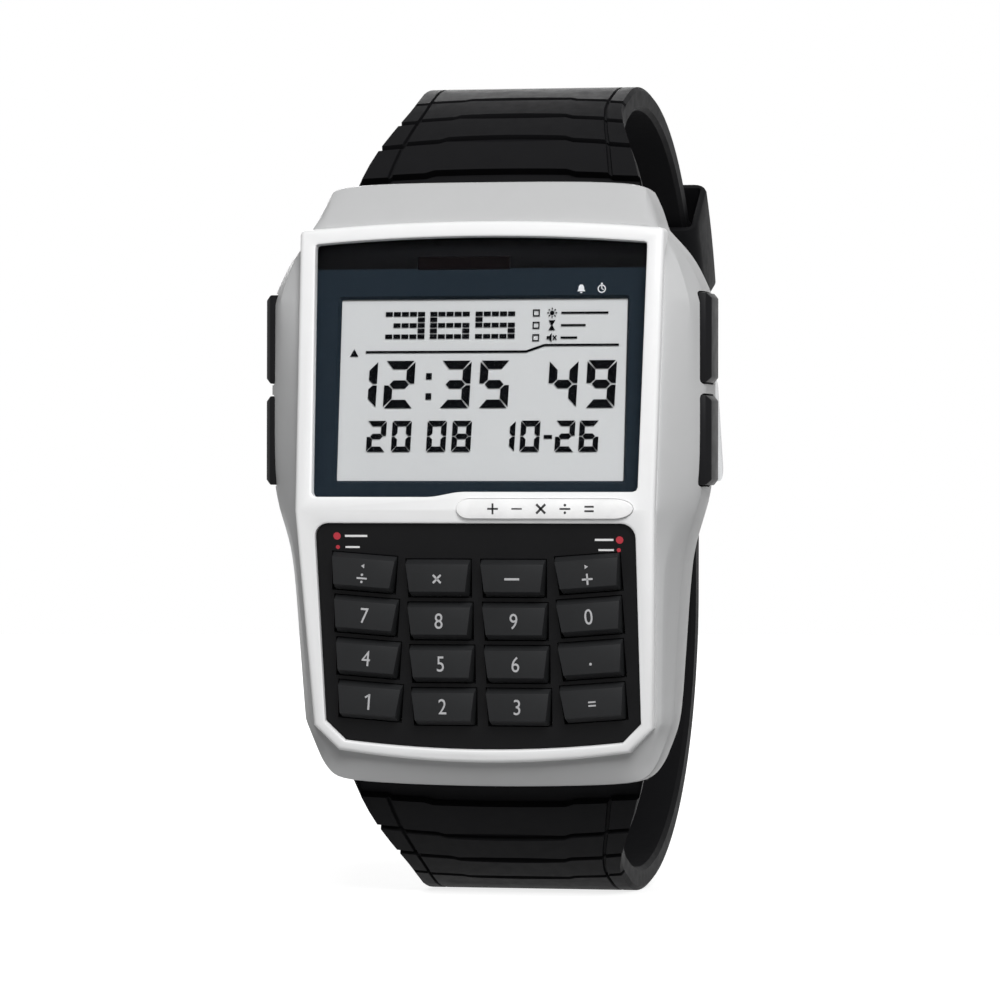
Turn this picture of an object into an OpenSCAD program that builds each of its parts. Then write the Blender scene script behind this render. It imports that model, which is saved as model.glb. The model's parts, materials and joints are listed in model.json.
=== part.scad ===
// Calculator wristwatch with a buckled rubber strap.
// X runs to 3 o'clock, Y from the dial into the wrist, Z to 12 o'clock. The origin is the wrist's centre.
// A depth is counted from the ridge of the bezel, the foremost line of the case.

/* [Case] */
// Width of the case without the pushers
case_w = 43; // [42:0.5:46]
// Reach of the upper hood beyond the bezel
hood_l = 3.9; // [3.7:0.1:4.6]
// Reach of the lower hood beyond the bezel
chin_l = 2.4; // [2.3:0.1:3.6]
// Thickness from the ridge of the bezel to the back
case_t = 13; // [12.9:0.1:14]
// Drawing in of the waist beside the lowest keys, on each side
waist_in = 3.1; // [2.4:0.1:3.3]
// Drawing in of the hoods that cover the strap's ends, on each side
hood_in = 5.1; // [4.8:0.1:5.2]
// Width of the bezel's rim above the window, seen from the front
head_rim = 1.52; // [1.4:0.02:1.8]
// Width of the bezel's rim below the keypad, seen from the front
foot_rim = 1.18; // [1.1:0.02:1.5]
// Width of the case's sloping shoulder beside the bezel
shoulder_w = 3.9; // [3.6:0.1:4]
// Height of the bezel's outer wall
bezel_t = 2.0; // [1.9:0.05:2.1]
// Thickness of the bezel's inner rim
rim_t = 1.0; // [0.8:0.1:1.2]
// Height of the bezel's middle above the case's middle
bezel_mid = -0.45; // [-0.6:0.05:-0.3]
// Lean of the display away from upright
display_tilt = 6.5; // [5:0.1:7]
// Lean of the keypad away from upright
keypad_tilt = 11; // [9:0.1:11.2]

/* [Display] */
// Width of the bezel's rim beside the window
rim_w = 1.3; // [1.2:0.05:1.6]
// Height of the window opening in the middle
window_h = 24.6; // [24:0.1:24.8]
// Rise of the bowed upper edges of bezel and window
bow = 1.1; // [0.6:0.1:1.3]
// Thickness of the window glass
glass_t = 0.85; // [0.7:0.05:0.9]
// Width of the surround beside the visible display
lcd_margin = 2.2; // [2:0.1:2.8]
// Height of the visible display
lcd_h = 17.6; // [17:0.1:18]
// Thickness of the display panel
lcd_t = 1.4; // [1:0.1:1.5]

/* [Keypad] */
// Width of the bezel's rim beside the keypad
pad_rim_w = 1.9; // [1.8:0.05:2.2]
// Height of the keypad opening in the middle
pad_h = 22.2; // [22:0.1:22.6]
// Space between the keys of a row
key_space = 1.05; // [0.9:0.05:1.3]
// Distance between rows of keys
key_pitch_z = 4.2; // [4.1:0.05:4.25]
// Height of a key at its base
key_h = 3.6; // [3.4:0.05:3.7]
// Stand of a key above the keypad plate
key_rise = 1.25; // [0.9:0.05:1.4]
// Travel of a key
key_travel = 0.4; // [0.3:0.05:0.45]
// Clearance round a key
key_gap = 0.12; // [0.08:0.02:0.16]

/* [Pushers] */
// Length of a pusher along the case
pusher_l = 8.6; // [8:0.1:8.8]
// Depth of a pusher from front to back
pusher_t = 4.4; // [4:0.1:4.6]
// Reach of a pusher beyond the side of the case
pusher_out = 0.5; // [0.4:0.1:1]
// Travel of a pusher
pusher_travel = 0.8; // [0.5:0.1:0.9]
// Radius of a pusher's stem
stem_r = 1.0; // [0.8:0.05:1.1]

/* [Strap] */
// Thickness of the two lugs that hold a spring bar
lug_t = 1.3; // [1.2:0.05:1.6]
// Width of the strap behind the wrist
strap_back_w = 21.6; // [20.6:0.2:22.6]
// Thickness of the strap
strap_t = 2.3; // [2:0.1:2.5]
// Height of the band loop, to the strap's middle line
loop_h = 77.6; // [76:0.4:84]
// Depth of the wrist opening
wrist_d = 42.4; // [41:0.2:45]
// Radius of the loop's two rear bends
bend_r = 28.2; // [27:0.2:29]
// Depth of the spring bars below the ridge
bar_depth = 10.4; // [10.3:0.1:10.6]
// Distance of a spring bar from the end of the case
bar_inset = 2.95; // [2.9:0.05:3.1]
// Radius of a spring bar
bar_r = 0.8; // [0.6:0.05:0.85]
// Distance between the strap's adjustment holes
hole_pitch = 6.5; // [6.2:0.1:7]

/* [Hidden] */
$fn = 48;
DIGIT_KEYS = ["key_7", "key_8", "key_9", "key_0", "key_4", "key_5", "key_6", "key_point",
              "key_1", "key_2", "key_3", "key_equals"];
KEYS = concat(["key_divide", "key_times", "key_minus", "key_plus"], DIGIT_KEYS);
SIDES = ["upper_left", "lower_left", "upper_right", "lower_right"];

silver = [0.76, 0.77, 0.78];
black_rubber = [0.06, 0.06, 0.065];
black_plastic = [0.09, 0.09, 0.095];
steel = [0.68, 0.69, 0.7];
seat_gap = 0.05;        // clearance between pieces that seat on each other
lip = 0.6;              // margin of plate and surround that the bezel's rim covers

// Shared places
front_y = -(case_t + wrist_d / 2);      // Y of the ridge
hw = case_w / 2;
window_foot = 1.8;                  // height of the window's foot above the ridge
window_top = window_foot + window_h;
pad_top = -1.3;                     // top of the keypad opening below the ridge
pad_foot = pad_top - pad_h;
head_l = window_top * cos(display_tilt) + head_rim; // length of the bezel above the ridge
foot_l = foot_rim - pad_foot * cos(keypad_tilt);    // length of the bezel below the ridge
ridge_z = bezel_mid - (head_l - foot_l) / 2;
bezel_top = ridge_z + head_l;
bezel_foot = ridge_z - foot_l;
end_top = bezel_top + hood_l;
end_foot = bezel_foot - chin_l;
end_z = (end_top - end_foot) / 2;       // half the case's length
bar_z = end_z - bar_inset;
waist_w = case_w - 2 * waist_in;
hood_w = case_w - 2 * hood_in;
bezel_w = case_w - 2 * shoulder_w;
window_w = bezel_w - 2 * rim_w;
lcd_w = window_w - 2 * lcd_margin;
pad_w = bezel_w - 2 * pad_rim_w;
key_pitch_x = (pad_w - 2) / 4;
key_w = key_pitch_x - key_space;
slot_gap = 0.2;         // clearance between a strap's end and its lugs
slot_x = hood_w / 2 - lug_t;
strap_w = 2 * (slot_x - slot_gap);
bezel_x = bezel_w / 2;
hood_x = hood_w / 2;
waist_x = waist_w / 2;

function depth_y(d) = front_y + d;
function face_depth(z) =
    z > ridge_z ? (z - ridge_z) * tan(display_tilt) : (ridge_z - z) * tan(keypad_tilt);
function mirrored(right) =
    concat(right, [for (i = [len(right) - 1 : -1 : 0]) if (right[i][0] != 0) [-right[i][0], right[i][1]]]);

// Places its children on the leaning display: X across, Y into the case, Z up from the ridge
module on_display() { translate([0, front_y, ridge_z]) rotate([-display_tilt, 0, 0]) children(); }
// The same for the leaning keypad
module on_keypad() { translate([0, front_y, ridge_z]) rotate([keypad_tilt, 0, 0]) children(); }
// Extrudes a front outline from one depth to another
module slab(from, to) { translate([0, to, 0]) rotate([90, 0, 0]) linear_extrude(to - from) children(); }
// The same between two depths of the upright case
module case_slab(from, to) { translate([0, front_y, 0]) slab(from, to) children(); }
// Extrudes a side outline of [depth, z] points across the case
module side_slab(half_width) {
    translate([half_width, front_y, 0]) rotate([0, -90, 0]) linear_extrude(2 * half_width)
        mirror([1, -1]) children();
}
module rounded_rect(w, h, r) {
    hull() for (x = [-1, 1], z = [-1, 1]) translate([x * (w / 2 - r), z * (h / 2 - r)]) circle(r, $fn = 32);
}
// Outline with straight sides and quarter circles, drawn without a hull
module soft_rect(w, h, r) {
    square([w - 2 * r, h], center = true);
    square([w, h - 2 * r], center = true);
    for (x = [-1, 1], z = [-1, 1]) translate([x * (w / 2 - r), z * (h / 2 - r)]) circle(r);
}

/* Bezel */
corner = 0.5;           // cut of the bezel's upper corners
foot_cut = 2.4;         // cut of the bezel's lower corners
foot_x = bezel_x - 0.85; // half width of the bezel above its lower corners
head_x = bezel_x + 0.3; // half width of the bezel below its upper corners
bow_steps = 8;
// Points of an edge bowed outwards by rise between -half and half, from left to right
function bowed(half, z, rise) =
    [for (i = [-bow_steps : bow_steps]) let (u = i / bow_steps) [u * half, z - rise * u * u]];

module bezel_outline() {
    polygon(concat(
        bowed(head_x - corner, bezel_top, bow * 0.7),
        [[head_x, bezel_top - bow * 0.7 - corner], [bezel_x, ridge_z], [foot_x, bezel_foot + foot_cut + bow]],
        [for (p = bowed(-(foot_x - foot_cut), bezel_foot, -bow)) p],
        [[-foot_x, bezel_foot + foot_cut + bow], [-bezel_x, ridge_z], [-head_x, bezel_top - bow * 0.7 - corner]]
    ));
}
window_x = window_w / 2;
window_foot_x = window_x - 0.35;    // half width of the window at its foot
step_z = 0.5;                       // the window's foot steps down by this on its left
// Window outline above the ridge, grown on every side by extra
module window_outline(extra = 0) {
    offset(delta = extra) polygon(concat(
        bowed(window_x - 0.3, window_top, bow),
        [[window_x, window_top - bow - 0.4], [window_foot_x, window_foot + 0.4],
         [window_foot_x - 0.5, window_foot]],
        [for (i = [0 : 6]) let (u = i / 6) [-1 - 3.6 * u, window_foot - step_z * u * u * (3 - 2 * u)]],
        [[-window_foot_x + 0.5, window_foot - step_z], [-window_foot_x, window_foot - step_z + 0.4],
         [-window_x, window_top - bow - 0.4]]
    ));
}
pad_x = pad_w / 2;
pad_bow = bow * 0.75;
pad_corner = 1.4;
pad_cut = 1.9;                      // cut of the keypad's lower corners
// Keypad outline below the ridge, grown on every side by extra
module pad_outline(extra = 0) {
    offset(delta = extra) polygon(concat(
        [for (a = [180 : -15 : 90]) [-pad_x + pad_corner * (1 + cos(a)), pad_top - pad_corner * (1 - sin(a))]],
        [for (a = [90 : -15 : 0]) [pad_x - pad_corner * (1 - cos(a)), pad_top - pad_corner * (1 - sin(a))]],
        [[pad_x - 0.15, pad_foot + pad_cut + pad_bow]],
        [for (p = bowed(-(pad_x - 0.15 - pad_cut), pad_foot, -pad_bow)) p],
        [[-pad_x + 0.15, pad_foot + pad_cut + pad_bow]]
    ));
}
// Side outline of a layer that follows the two leaning planes
module chevron(from, to) {
    reach = 2 * end_z;
    polygon([
        [from, ridge_z], [from + reach * tan(display_tilt), ridge_z + reach],
        [to + reach * tan(display_tilt), ridge_z + reach], [to, ridge_z],
        [to + reach * tan(keypad_tilt), ridge_z - reach], [from + reach * tan(keypad_tilt), ridge_z - reach]
    ]);
}
module bezel_frame() {
    color(silver) difference() {
        intersection() {
            case_slab(-1, case_t) bezel_outline();
            side_slab(case_w) chevron(0, bezel_t);
        }
        on_display() slab(-2, rim_t) window_outline();
        on_display() slab(rim_t, case_t) window_outline(lip + seat_gap);
        on_keypad() slab(-2, rim_t) pad_outline();
        on_keypad() slab(rim_t, case_t) pad_outline(lip + seat_gap);
        badge_place() slab(-badge_sink, badge_sink + 1) badge_outline(seat_gap);
    }
}
badge_w = 17;
badge_h = 1.9;
badge_sink = 0.3;
module badge_outline(extra = 0) {
    offset(delta = extra) polygon(concat(
        [for (a = [90 : -15 : -90]) [badge_w / 2 - badge_h + badge_h * 1.0 * cos(a), badge_h / 2 * sin(a)]],
        [for (a = [0 : 15 : 90]) [-badge_w / 2 + 1.4 * sin(a) * 0.5, -badge_h / 2 * cos(a)]],
        [[-badge_w / 2 - 0.2, badge_h / 2]]
    ));
}
badge_z = 0.15;         // height of the badge's middle above the ridge line
module badge_place() { translate([7.0, front_y, ridge_z + badge_z]) children(); }
// Oblong plate let into the bar between window and keypad
module badge_plate() {
    color([0.93, 0.93, 0.93]) badge_place() slab(-0.25, badge_sink - seat_gap) badge_outline();
}

/* Case */
shoulder = 1.0;         // height of the bezel's wall that stands clear of the case
belt_depth = 5.9;       // depth of the widest line of the case
back_t = 0.8;           // thickness of the back plate
back_face = case_t - back_t - seat_gap;
// Rows from the top to the bottom: outer z, outer x, shoulder z, shoulder x
top_z = bezel_top + 0.1;
foot_z = bezel_foot - 0.1;
RIM = [
    [end_top, 0, top_z, 0],
    [end_top, 5, top_z - 0.1, 6],
    [end_top - 0.05, 10, top_z - 0.35, 11.5],
    [end_top - 0.3, hood_x - 1.8, top_z - 0.62, head_x - 2.3],
    [end_top - 0.8, hood_x - 0.9, top_z - 0.7, head_x - 0.9],
    [end_top - 2.5, hood_x - 0.1, top_z - 1.05, head_x - 0.15],
    [end_top - 4.45, hood_x + 0.9, top_z - 2.05, head_x + 0.15],
    [end_top - 6.8, hw - 2.1, top_z - 3.6, head_x + 0.08],
    [end_top - 8.3, hw - 1.2, top_z - 5, head_x + 0.06],
    [end_top - 9.9, hw - 0.3, top_z - 6.5, head_x + 0.04],
    [end_top - 11.6, hw, top_z - 8, head_x],
    [9.5, hw, 9, bezel_x + 0.2],
    [0.8, hw, 0.5, bezel_x + 0.1],
    [-2.1, hw - 0.5, ridge_z, bezel_x + 0.1],
    [-4.5, (hw + waist_x) / 2 + 0.45, -4.6, bezel_x],
    [-7, waist_x + 1.5, -7, bezel_x - 0.05],
    [-12.2, waist_x + 1, -12.2, bezel_x - 0.2],
    [-17.3, waist_x + 0.55, -17.3, foot_x + 0.25],
    [-22.5, waist_x, foot_z + 3.8, foot_x + 0.1],
    [end_foot + 4.5, waist_x - 0.8, foot_z + 2.4, foot_x - 1.2],
    [end_foot + 2.6, hood_x + 0.2, foot_z + 1.4, foot_x - 2.2],
    [end_foot + 1.2, hood_x - 0.6, foot_z + 1, 12],
    [end_foot + 0.4, hood_x - 1.8, foot_z + 0.5, 8.5],
    [end_foot + 0.1, 7, foot_z + 0.1, 4.5],
    [end_foot, 0, foot_z, 0]
];
rows = len(RIM);
function belt(z) = belt_depth + (z > 0 ? 0.7 : 1.4) * pow(z / end_z, 2);
// One ring of the skin, at a level from 0 (shoulder) to 3 (back edge), as [x, y, z]
function ring_point(row, level) =
    level == 0 ? [row[3], depth_y(face_depth(row[2]) + shoulder), row[2]] :
    level == 1 ? [row[1], depth_y(belt(row[0])), row[0]] :
    level == 2 ? [max(0, row[1] - 0.2), depth_y(back_face - 2.2), row[0] * 0.995] :
    [row[1] * 0.95, depth_y(back_face), row[0] * 0.96];
function ring(level) = concat(
    [for (row = RIM) ring_point(row, level)],
    [for (i = [rows - 2 : -1 : 1]) let (p = ring_point(RIM[i], level)) [-p[0], p[1], p[2]]]);
count = 2 * rows - 2;
// Solid between stacked rings of [x, y, z] points whose ends are closed row by row
module skin(rings, cap) {
    n = len(rings[0]);
    m = len(rings);
    polyhedron(
        [for (r = rings) each r],
        concat(
            [for (k = [0 : m - 2], i = [0 : n - 1]) each [
                [k * n + i, (k + 1) * n + i, k * n + (i + 1) % n],
                [k * n + (i + 1) % n, (k + 1) * n + i, (k + 1) * n + (i + 1) % n]]],
            [for (i = [1 : cap - 2]) [i, n - i - 1, n - i]],
            [for (i = [0 : cap - 3]) [i, i + 1, n - i - 1]],
            [for (i = [1 : cap - 2]) [(m - 1) * n + i, (m - 1) * n + n - i, (m - 1) * n + n - i - 1]],
            [for (i = [0 : cap - 3]) [(m - 1) * n + i, (m - 1) * n + n - i - 1, (m - 1) * n + i + 1]]
        )
    );
}
cave_x = hw - 4.9;      // half width of the cavity beside the display
cave_foot_x = waist_x - 2.5; // half width of the cavity beside the lowest keys
cave_z = end_z - 7.2;   // half height of the cavity
module cave_outline(extra = 0) {
    offset(delta = extra) polygon([
        [cave_x - 2.4, cave_z], [cave_x, cave_z - 2.7], [cave_x, -3], [cave_foot_x, -cave_z + 3],
        [cave_foot_x - 2.8, -cave_z], [-cave_foot_x + 2.8, -cave_z], [-cave_foot_x, -cave_z + 3],
        [-cave_x, -3], [-cave_x, cave_z - 2.7], [-cave_x + 2.4, cave_z]
    ]);
}
knuckle_r = bar_r + 1.2;
slot_top = bar_depth - knuckle_r - 0.3;
pin_r = bar_r - 0.3;
pin_end = slot_x + 1.0;
SCREWS = [for (side = [-1, 1]) each [[side * (cave_x + 0.7), cave_z - 0.1], [side * (cave_foot_x + 0.2), -cave_z + 0.1]]];
screw_r = 0.7;
screw_head_r = 1.15;
screw_l = 4;
gasket_w = 0.7;
gasket_t = 0.6;
// Pushers: places along the case, and depths across it
pusher_gap = 0.15;
pusher_z = 9.45;        // height of the bridge between two pushers
bridge = 1.2;
pusher_depth = belt_depth + 1.8;
pocket_x = hw - 2.55;   // floor of a pusher's pocket
head_in = pocket_x + pusher_travel + pusher_gap;
well_x = cave_x + 1.0;  // floor of the spring's well
well_r = stem_r + 0.75;
stem_end = cave_x - 1.2 - pusher_travel;
module at_pusher(side) {
    up = side[0] == "u";
    right = side[6] == "r";
    translate([0, depth_y(pusher_depth), pusher_z + (up ? 1 : -1) * (pusher_l + bridge) / 2])
        mirror([right ? 0 : 1, 0, 0]) children();
}
// Cylinder along the case's width between two distances from the middle
module cross_rod(r, from, to) { translate([from, 0, 0]) rotate([0, 90, 0]) cylinder(h = to - from, r = r); }
module pusher_pocket() {
    g = pusher_gap;
    translate([pocket_x, -pusher_t / 2 - g, -pusher_l / 2 - g]) cube([10, pusher_t + 2 * g, pusher_l + 2 * g]);
    cross_rod(stem_r + 0.05, cave_x - 2, hw);
    cross_rod(well_r, well_x, hw);
    cross_rod(stem_r + 0.5, cave_x + 0.2, cave_x + 0.7);
}
module case_shell() {
    color(silver) difference() {
        skin([for (level = [0 : 3]) ring(level)], rows);
        intersection() {
            case_slab(-2, case_t) offset(delta = 0.1) bezel_outline();
            side_slab(case_w) chevron(-4, bezel_t + seat_gap);
        }
        intersection() {
            case_slab(0, case_t + 1) cave_outline();
            side_slab(case_w) chevron(0.5, 40);
        }
        // room for the lowest keys and their travel
        on_keypad() slab(bezel_t, plate_back + flange_t + key_travel + 0.35) pad_outline(-0.6);
        // notch for the sensor bar
        on_display() translate([slit_x, 0, slit_z]) slab(under - 0.3, under + 0.3) square([9.2, 1.4], center = true);
        case_slab(back_face - gasket_t, case_t + 1) cave_outline(gasket_w);
        for (side = [-1, 1]) translate([0, 0, side * (end_z + bar_z - knuckle_r - 0.3 + 2) / 2]) {
            l = end_z + 2 - (bar_z - knuckle_r - 0.3);
            translate([-slot_x, depth_y(slot_top), -l / 2]) cube([2 * slot_x, case_t, l]);
        }
        for (side = [-1, 1]) translate([0, depth_y(bar_depth), side * bar_z])
            cross_rod(pin_r + 0.05, -pin_end - 0.1, pin_end + 0.1);
        for (p = SCREWS) translate([p[0], depth_y(back_face) + 0.5, p[1]]) rotate([90, 0, 0])
            cylinder(h = screw_l + 0.8, r = screw_r + 0.02);
        for (side = SIDES) at_pusher(side) pusher_pocket();
    }
}

/* Back */
module back_outline() { soft_rect(2 * cave_foot_x + 2.6, 2 * cave_z + 1.4, 2.4); }
module case_back() {
    color(steel) difference() {
        union() {
            case_slab(back_face + seat_gap, case_t) back_outline();
            for (p = SCREWS) translate([p[0], 0, p[1]]) case_slab(back_face + seat_gap, case_t) circle(1.7);
        }
        for (p = SCREWS) translate([p[0], depth_y(case_t) + 1, p[1]]) rotate([90, 0, 0]) {
            cylinder(h = 3, r = screw_r + 0.1);
            cylinder(h = 1.42, r = screw_head_r + 0.06);
        }
    }
}
module back_gasket() {
    color(black_rubber) difference() {
        case_slab(back_face - gasket_t + 0.03, back_face) cave_outline(gasket_w - 0.04);
        case_slab(0, case_t + 1) cave_outline(0.04);
    }
}
module back_screws() {
    color(steel) for (p = SCREWS) translate([p[0], depth_y(case_t), p[1]]) difference() {
        union() {
            rotate([90, 0, 0]) cylinder(h = 0.4, r = screw_head_r);
            rotate([90, 0, 0]) cylinder(h = back_t + screw_l, r = screw_r);
        }
        for (turn = [0, 90]) rotate([0, turn, 0]) translate([0, 0, 0]) cube([1.3, 0.5, 0.3], center = true);
    }
}

/* Window and display */
glass_at = rim_t + seat_gap;
under = bezel_t + seat_gap + 0.05;      // depth below the faces at which the module's layers begin
surround_t = 0.5;
lcd_mid = window_foot + 1.3 + lcd_h / 2; // middle of the display above the ridge
lcd_at = under + surround_t + seat_gap;
guide_at = lcd_at + lcd_t + seat_gap;
inner_w = lcd_w - 0.8;                  // width of frame and board where the pushers' stems reach in
board_at = guide_at + 2.3;
board_t = 0.8;
cell_at = board_at + board_t + 0.5;
cell_t = 1.6;
cell_r = 10;
module at_lcd() { on_display() translate([0, 0, lcd_mid]) children(); }
module window_glass() {
    color([0.3, 0.36, 0.42, 0.35]) on_display() {
        slab(glass_at, glass_at + glass_t) window_outline(lip);
        slab(0.35, glass_at + 0.01) window_outline(-seat_gap);
    }
}
slit_z = window_top - 2.25; // height of the sensor bar's middle above the ridge
slit_x = -2.0;
module display_surround() {
    color([0.1, 0.12, 0.15]) intersection() {
        on_display() difference() {
            slab(under, under + surround_t) window_outline(0.2);
            translate([0, 0, lcd_mid]) slab(0, 5) square([lcd_w, lcd_h], center = true);
            translate([slit_x, 0, slit_z]) slab(under - 1, under + 0.25) square([9.1, 1.3], center = true);
        }
        case_slab(0, case_t) cave_outline(-0.1);
    }
}
module sensor_bar() {
    color([0.2, 0.05, 0.05]) on_display() translate([slit_x, 0, slit_z])
        slab(under, under + 0.2) square([9, 1.2], center = true);
}
module lcd_panel() {
    color([0.72, 0.74, 0.71]) at_lcd() slab(lcd_at, lcd_at + lcd_t) square([lcd_w + 2, lcd_h + 3.4], center = true);
}
SEGMENTS = ["1110111", "0010010", "1011101", "1011011", "0111010", "1101011", "1101111", "1110010",
            "1111111", "1111011"];
slant = 0.06;
module slanted(x, z, w, h) {
    polygon([[x + slant * z, z], [x + w + slant * z, z], [x + w + slant * (z + h), z + h],
             [x + slant * (z + h), z + h]]);
}
// A seven-segment digit with its lower left corner at [x, z]
module digit(n, x, z, w, h, t) {
    m = (h - t) / 2;
    on = SEGMENTS[n];
    translate([x, z]) {
        if (on[0] == "1") slanted(0, h - t, w, t);
        if (on[1] == "1") slanted(0, m, t, m + t);
        if (on[2] == "1") slanted(w - t, m, t, m + t);
        if (on[3] == "1") slanted(0, m, w, t);
        if (on[4] == "1") slanted(0, 0, t, m + t);
        if (on[5] == "1") slanted(w - t, 0, t, m + t);
        if (on[6] == "1") slanted(0, 0, w, t);
    }
}
// Each figure: digit, x and z of its corner from the display's middle, width, height, stroke
FIGURES = [
    [1, -11.9, -2.1, 2.9, 4.5, 0.62], [2, -8.5, -2.1, 2.9, 4.5, 0.62], [3, -3.3, -2.1, 2.9, 4.5, 0.62],
    [5, 0.3, -2.1, 2.9, 4.5, 0.62], [4, 6.9, -2.1, 2.8, 4.5, 0.6], [9, 10.5, -2.1, 2.8, 4.5, 0.6],
    [2, -10.4, -6.7, 1.8, 3, 0.42], [0, -8, -6.7, 1.8, 3, 0.42], [0, -4.7, -6.7, 1.8, 3, 0.42],
    [8, -2.3, -6.7, 1.8, 3, 0.42], [1, 1.6, -6.7, 1.8, 3, 0.42], [0, 4.2, -6.7, 1.8, 3, 0.42],
    [2, 7.6, -6.7, 1.8, 3, 0.42], [6, 10, -6.7, 1.8, 3, 0.42]
];
module lcd_figures() {
    color([0.05, 0.06, 0.08]) at_lcd() slab(lcd_at - 0.13, lcd_at - 0.03) {
        scale([lcd_w / 28.2, lcd_h / 17.6]) {
            for (f = FIGURES) digit(f[0], f[1], f[2], f[3], f[4], f[5]);
            for (z = [-0.7, 1]) translate([-4.6, z]) square([0.6, 0.6]);
            translate([6.5, -5.4]) square([0.8, 0.35]);
            for (i = [0 : 2]) translate([5.9, 7 - 1.2 * i]) square(0.7);
            translate([-10.6, 3.3]) square([23, 0.2]);
        }
    }
}
strip_z = lcd_h / 2 + 0.95;
module zebra_strips() {
    color([0.55, 0.2, 0.3]) at_lcd() for (side = [-1, 1])
        translate([0, 0, side * strip_z]) slab(guide_at, board_at - seat_gap) square([lcd_w - 2, 0.8], center = true);
}
module light_guide() {
    color([0.9, 0.9, 0.85]) at_lcd() slab(guide_at, guide_at + 0.9) square([lcd_w - 4.4, lcd_h - 0.6], center = true);
}
module backlight_led() {
    color([0.95, 0.9, 0.5]) at_lcd() translate([-lcd_w / 2 + 1.5, 0, 0])
        slab(guide_at, guide_at + 1.2) square([1.2, 3], center = true);
}
module module_frame() {
    color([0.85, 0.85, 0.82]) intersection() {
        at_lcd() difference() {
            union() {
                slab(lcd_at, guide_at + 0.01) square([lcd_w + 3.4, lcd_h + 5], center = true);
                slab(guide_at, board_at - seat_gap) square([inner_w, lcd_h + 5], center = true);
            }
            slab(lcd_at - 1, guide_at) square([lcd_w + 2.1, lcd_h + 3.5], center = true);
            slab(guide_at - 0.1, board_at) square([lcd_w - 4.2, lcd_h - 0.4], center = true);
            slab(guide_at - 0.1, board_at) translate([-lcd_w / 2 + 1.6, 0]) square([1.6, 3.3], center = true);
            for (side = [-1, 1]) translate([0, 0, side * strip_z])
                slab(guide_at - 0.1, board_at) square([lcd_w - 1.8, 0.94], center = true);
        }
        case_slab(0, case_t) cave_outline(-0.1);
    }
}
module main_board() {
    color([0.1, 0.35, 0.2]) at_lcd() difference() {
        slab(board_at, board_at + board_t) square([inner_w - 0.2, lcd_h + 5], center = true);
        for (x = [-1, 1]) translate([x * (inner_w / 2 - 1.2), 0, lcd_h / 2 + 1]) slab(0, 20) circle(0.5);
    }
}
module clock_chip() {
    color([0.05, 0.05, 0.05]) at_lcd() translate([0, 0, 2]) slab(guide_at + 1, board_at - seat_gap)
        square([7, 7], center = true);
}
module quartz_can() {
    color(steel) at_lcd() translate([lcd_w / 2 - 4.6, 0, -5]) slab(guide_at + 1, board_at - seat_gap) square([1.6, 5], center = true);
}
module battery_cell() {
    color(steel) at_lcd() translate([0, 0, -1.2]) {
        slab(cell_at, cell_at + 0.5) circle(cell_r - 1);
        slab(cell_at + 0.49, cell_at + cell_t) circle(cell_r);
    }
}
module battery_clip() {
    color(steel) at_lcd() translate([0, 0, -1.2]) difference() {
        slab(board_at + board_t + seat_gap, cell_at + cell_t + 0.35) square([2 * cell_r + 2.4, 5], center = true);
        slab(0, cell_at + cell_t + 0.05) square([2 * cell_r + 1.6, 6], center = true);
    }
}

/* Keypad */
plate_front = 0.45;
plate_back = glass_at + 0.85;
pad_mid = pad_top - pad_h / 2;          // middle of the keypad's inner layers below the ridge
flange_t = 0.4;
flange_reach = 0.3;
key_mid = pad_mid - 0.6; // middle of the key rows below the ridge
outer_lift = 0.5;       // rise of the two outer columns
outer_turn = 4.5;       // turn of the two outer columns
key_draft = 0.3;
key_foot = 0.95;        // length of the slope at a key's lower edge
key_narrow = 0.12;
// Places a key of a column and a row, both counted from 0
module at_key(column, row) {
    outer = column == 0 ? 1 : column == 3 ? -1 : 0;
    on_keypad() translate([(column - 1.5) * key_pitch_x, 0,
                           key_mid + (1.5 - row) * key_pitch_z + (outer == 0 ? 0 : outer_lift)])
        rotate([0, outer * outer_turn, 0]) children();
}
module key_outline(extra = 0, over = 0) {
    w = key_w / 2 + extra;
    h = key_h / 2 + over;
    polygon([[-w, h], [w, h], [w - key_narrow, -h], [-w + key_narrow, -h]]);
}
// Key above the plate: its top face rises from its upper to its lower edge
module key_cap() {
    w = key_w / 2;
    h = key_h / 2;
    t = key_draft;
    low = plate_front - key_rise * 0.64;
    high = plate_front - key_rise;
    polyhedron(
        [[-w, plate_front, h], [w, plate_front, h], [w - key_narrow, plate_front, -h], [-w + key_narrow, plate_front, -h],
         [-w + t, low, h - 0.05], [w - t, low, h - 0.05],
         [w - key_narrow - t, high, -h + key_foot], [-w + key_narrow + t, high, -h + key_foot]],
        [[3, 2, 1, 0], [4, 5, 6, 7], [0, 1, 5, 4], [1, 2, 6, 5], [2, 3, 7, 6], [3, 0, 4, 7]]
    );
}
module key(column, row) {
    color(black_plastic) at_key(column, row) {
        key_cap();
        slab(plate_front - 0.01, plate_back + 0.06) key_outline();
        slab(plate_back + 0.05, plate_back + 0.05 + flange_t) key_outline(flange_reach);
    }
}
module keypad_plate() {
    color(black_plastic) difference() {
        on_keypad() {
            slab(glass_at, plate_back) pad_outline(lip);
            slab(plate_front, glass_at + 0.01) pad_outline(-seat_gap);
        }
        for (c = [0 : 3], r = [0 : 3]) at_key(c, r) slab(-2, 4) key_outline(key_gap, key_gap);
    }
}
dome_at = plate_back + 0.05 + flange_t + key_travel + 0.05;
sheet_at = dome_at + 0.5;
sheet_t = 0.4;
pad_board_at = sheet_at + sheet_t + seat_gap;
pad_in_w = 4 * key_pitch_x + 1;
pad_in_h = 4 * key_pitch_z + 2.4;
module at_pad() { on_keypad() translate([0, 0, pad_mid]) children(); }
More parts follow.
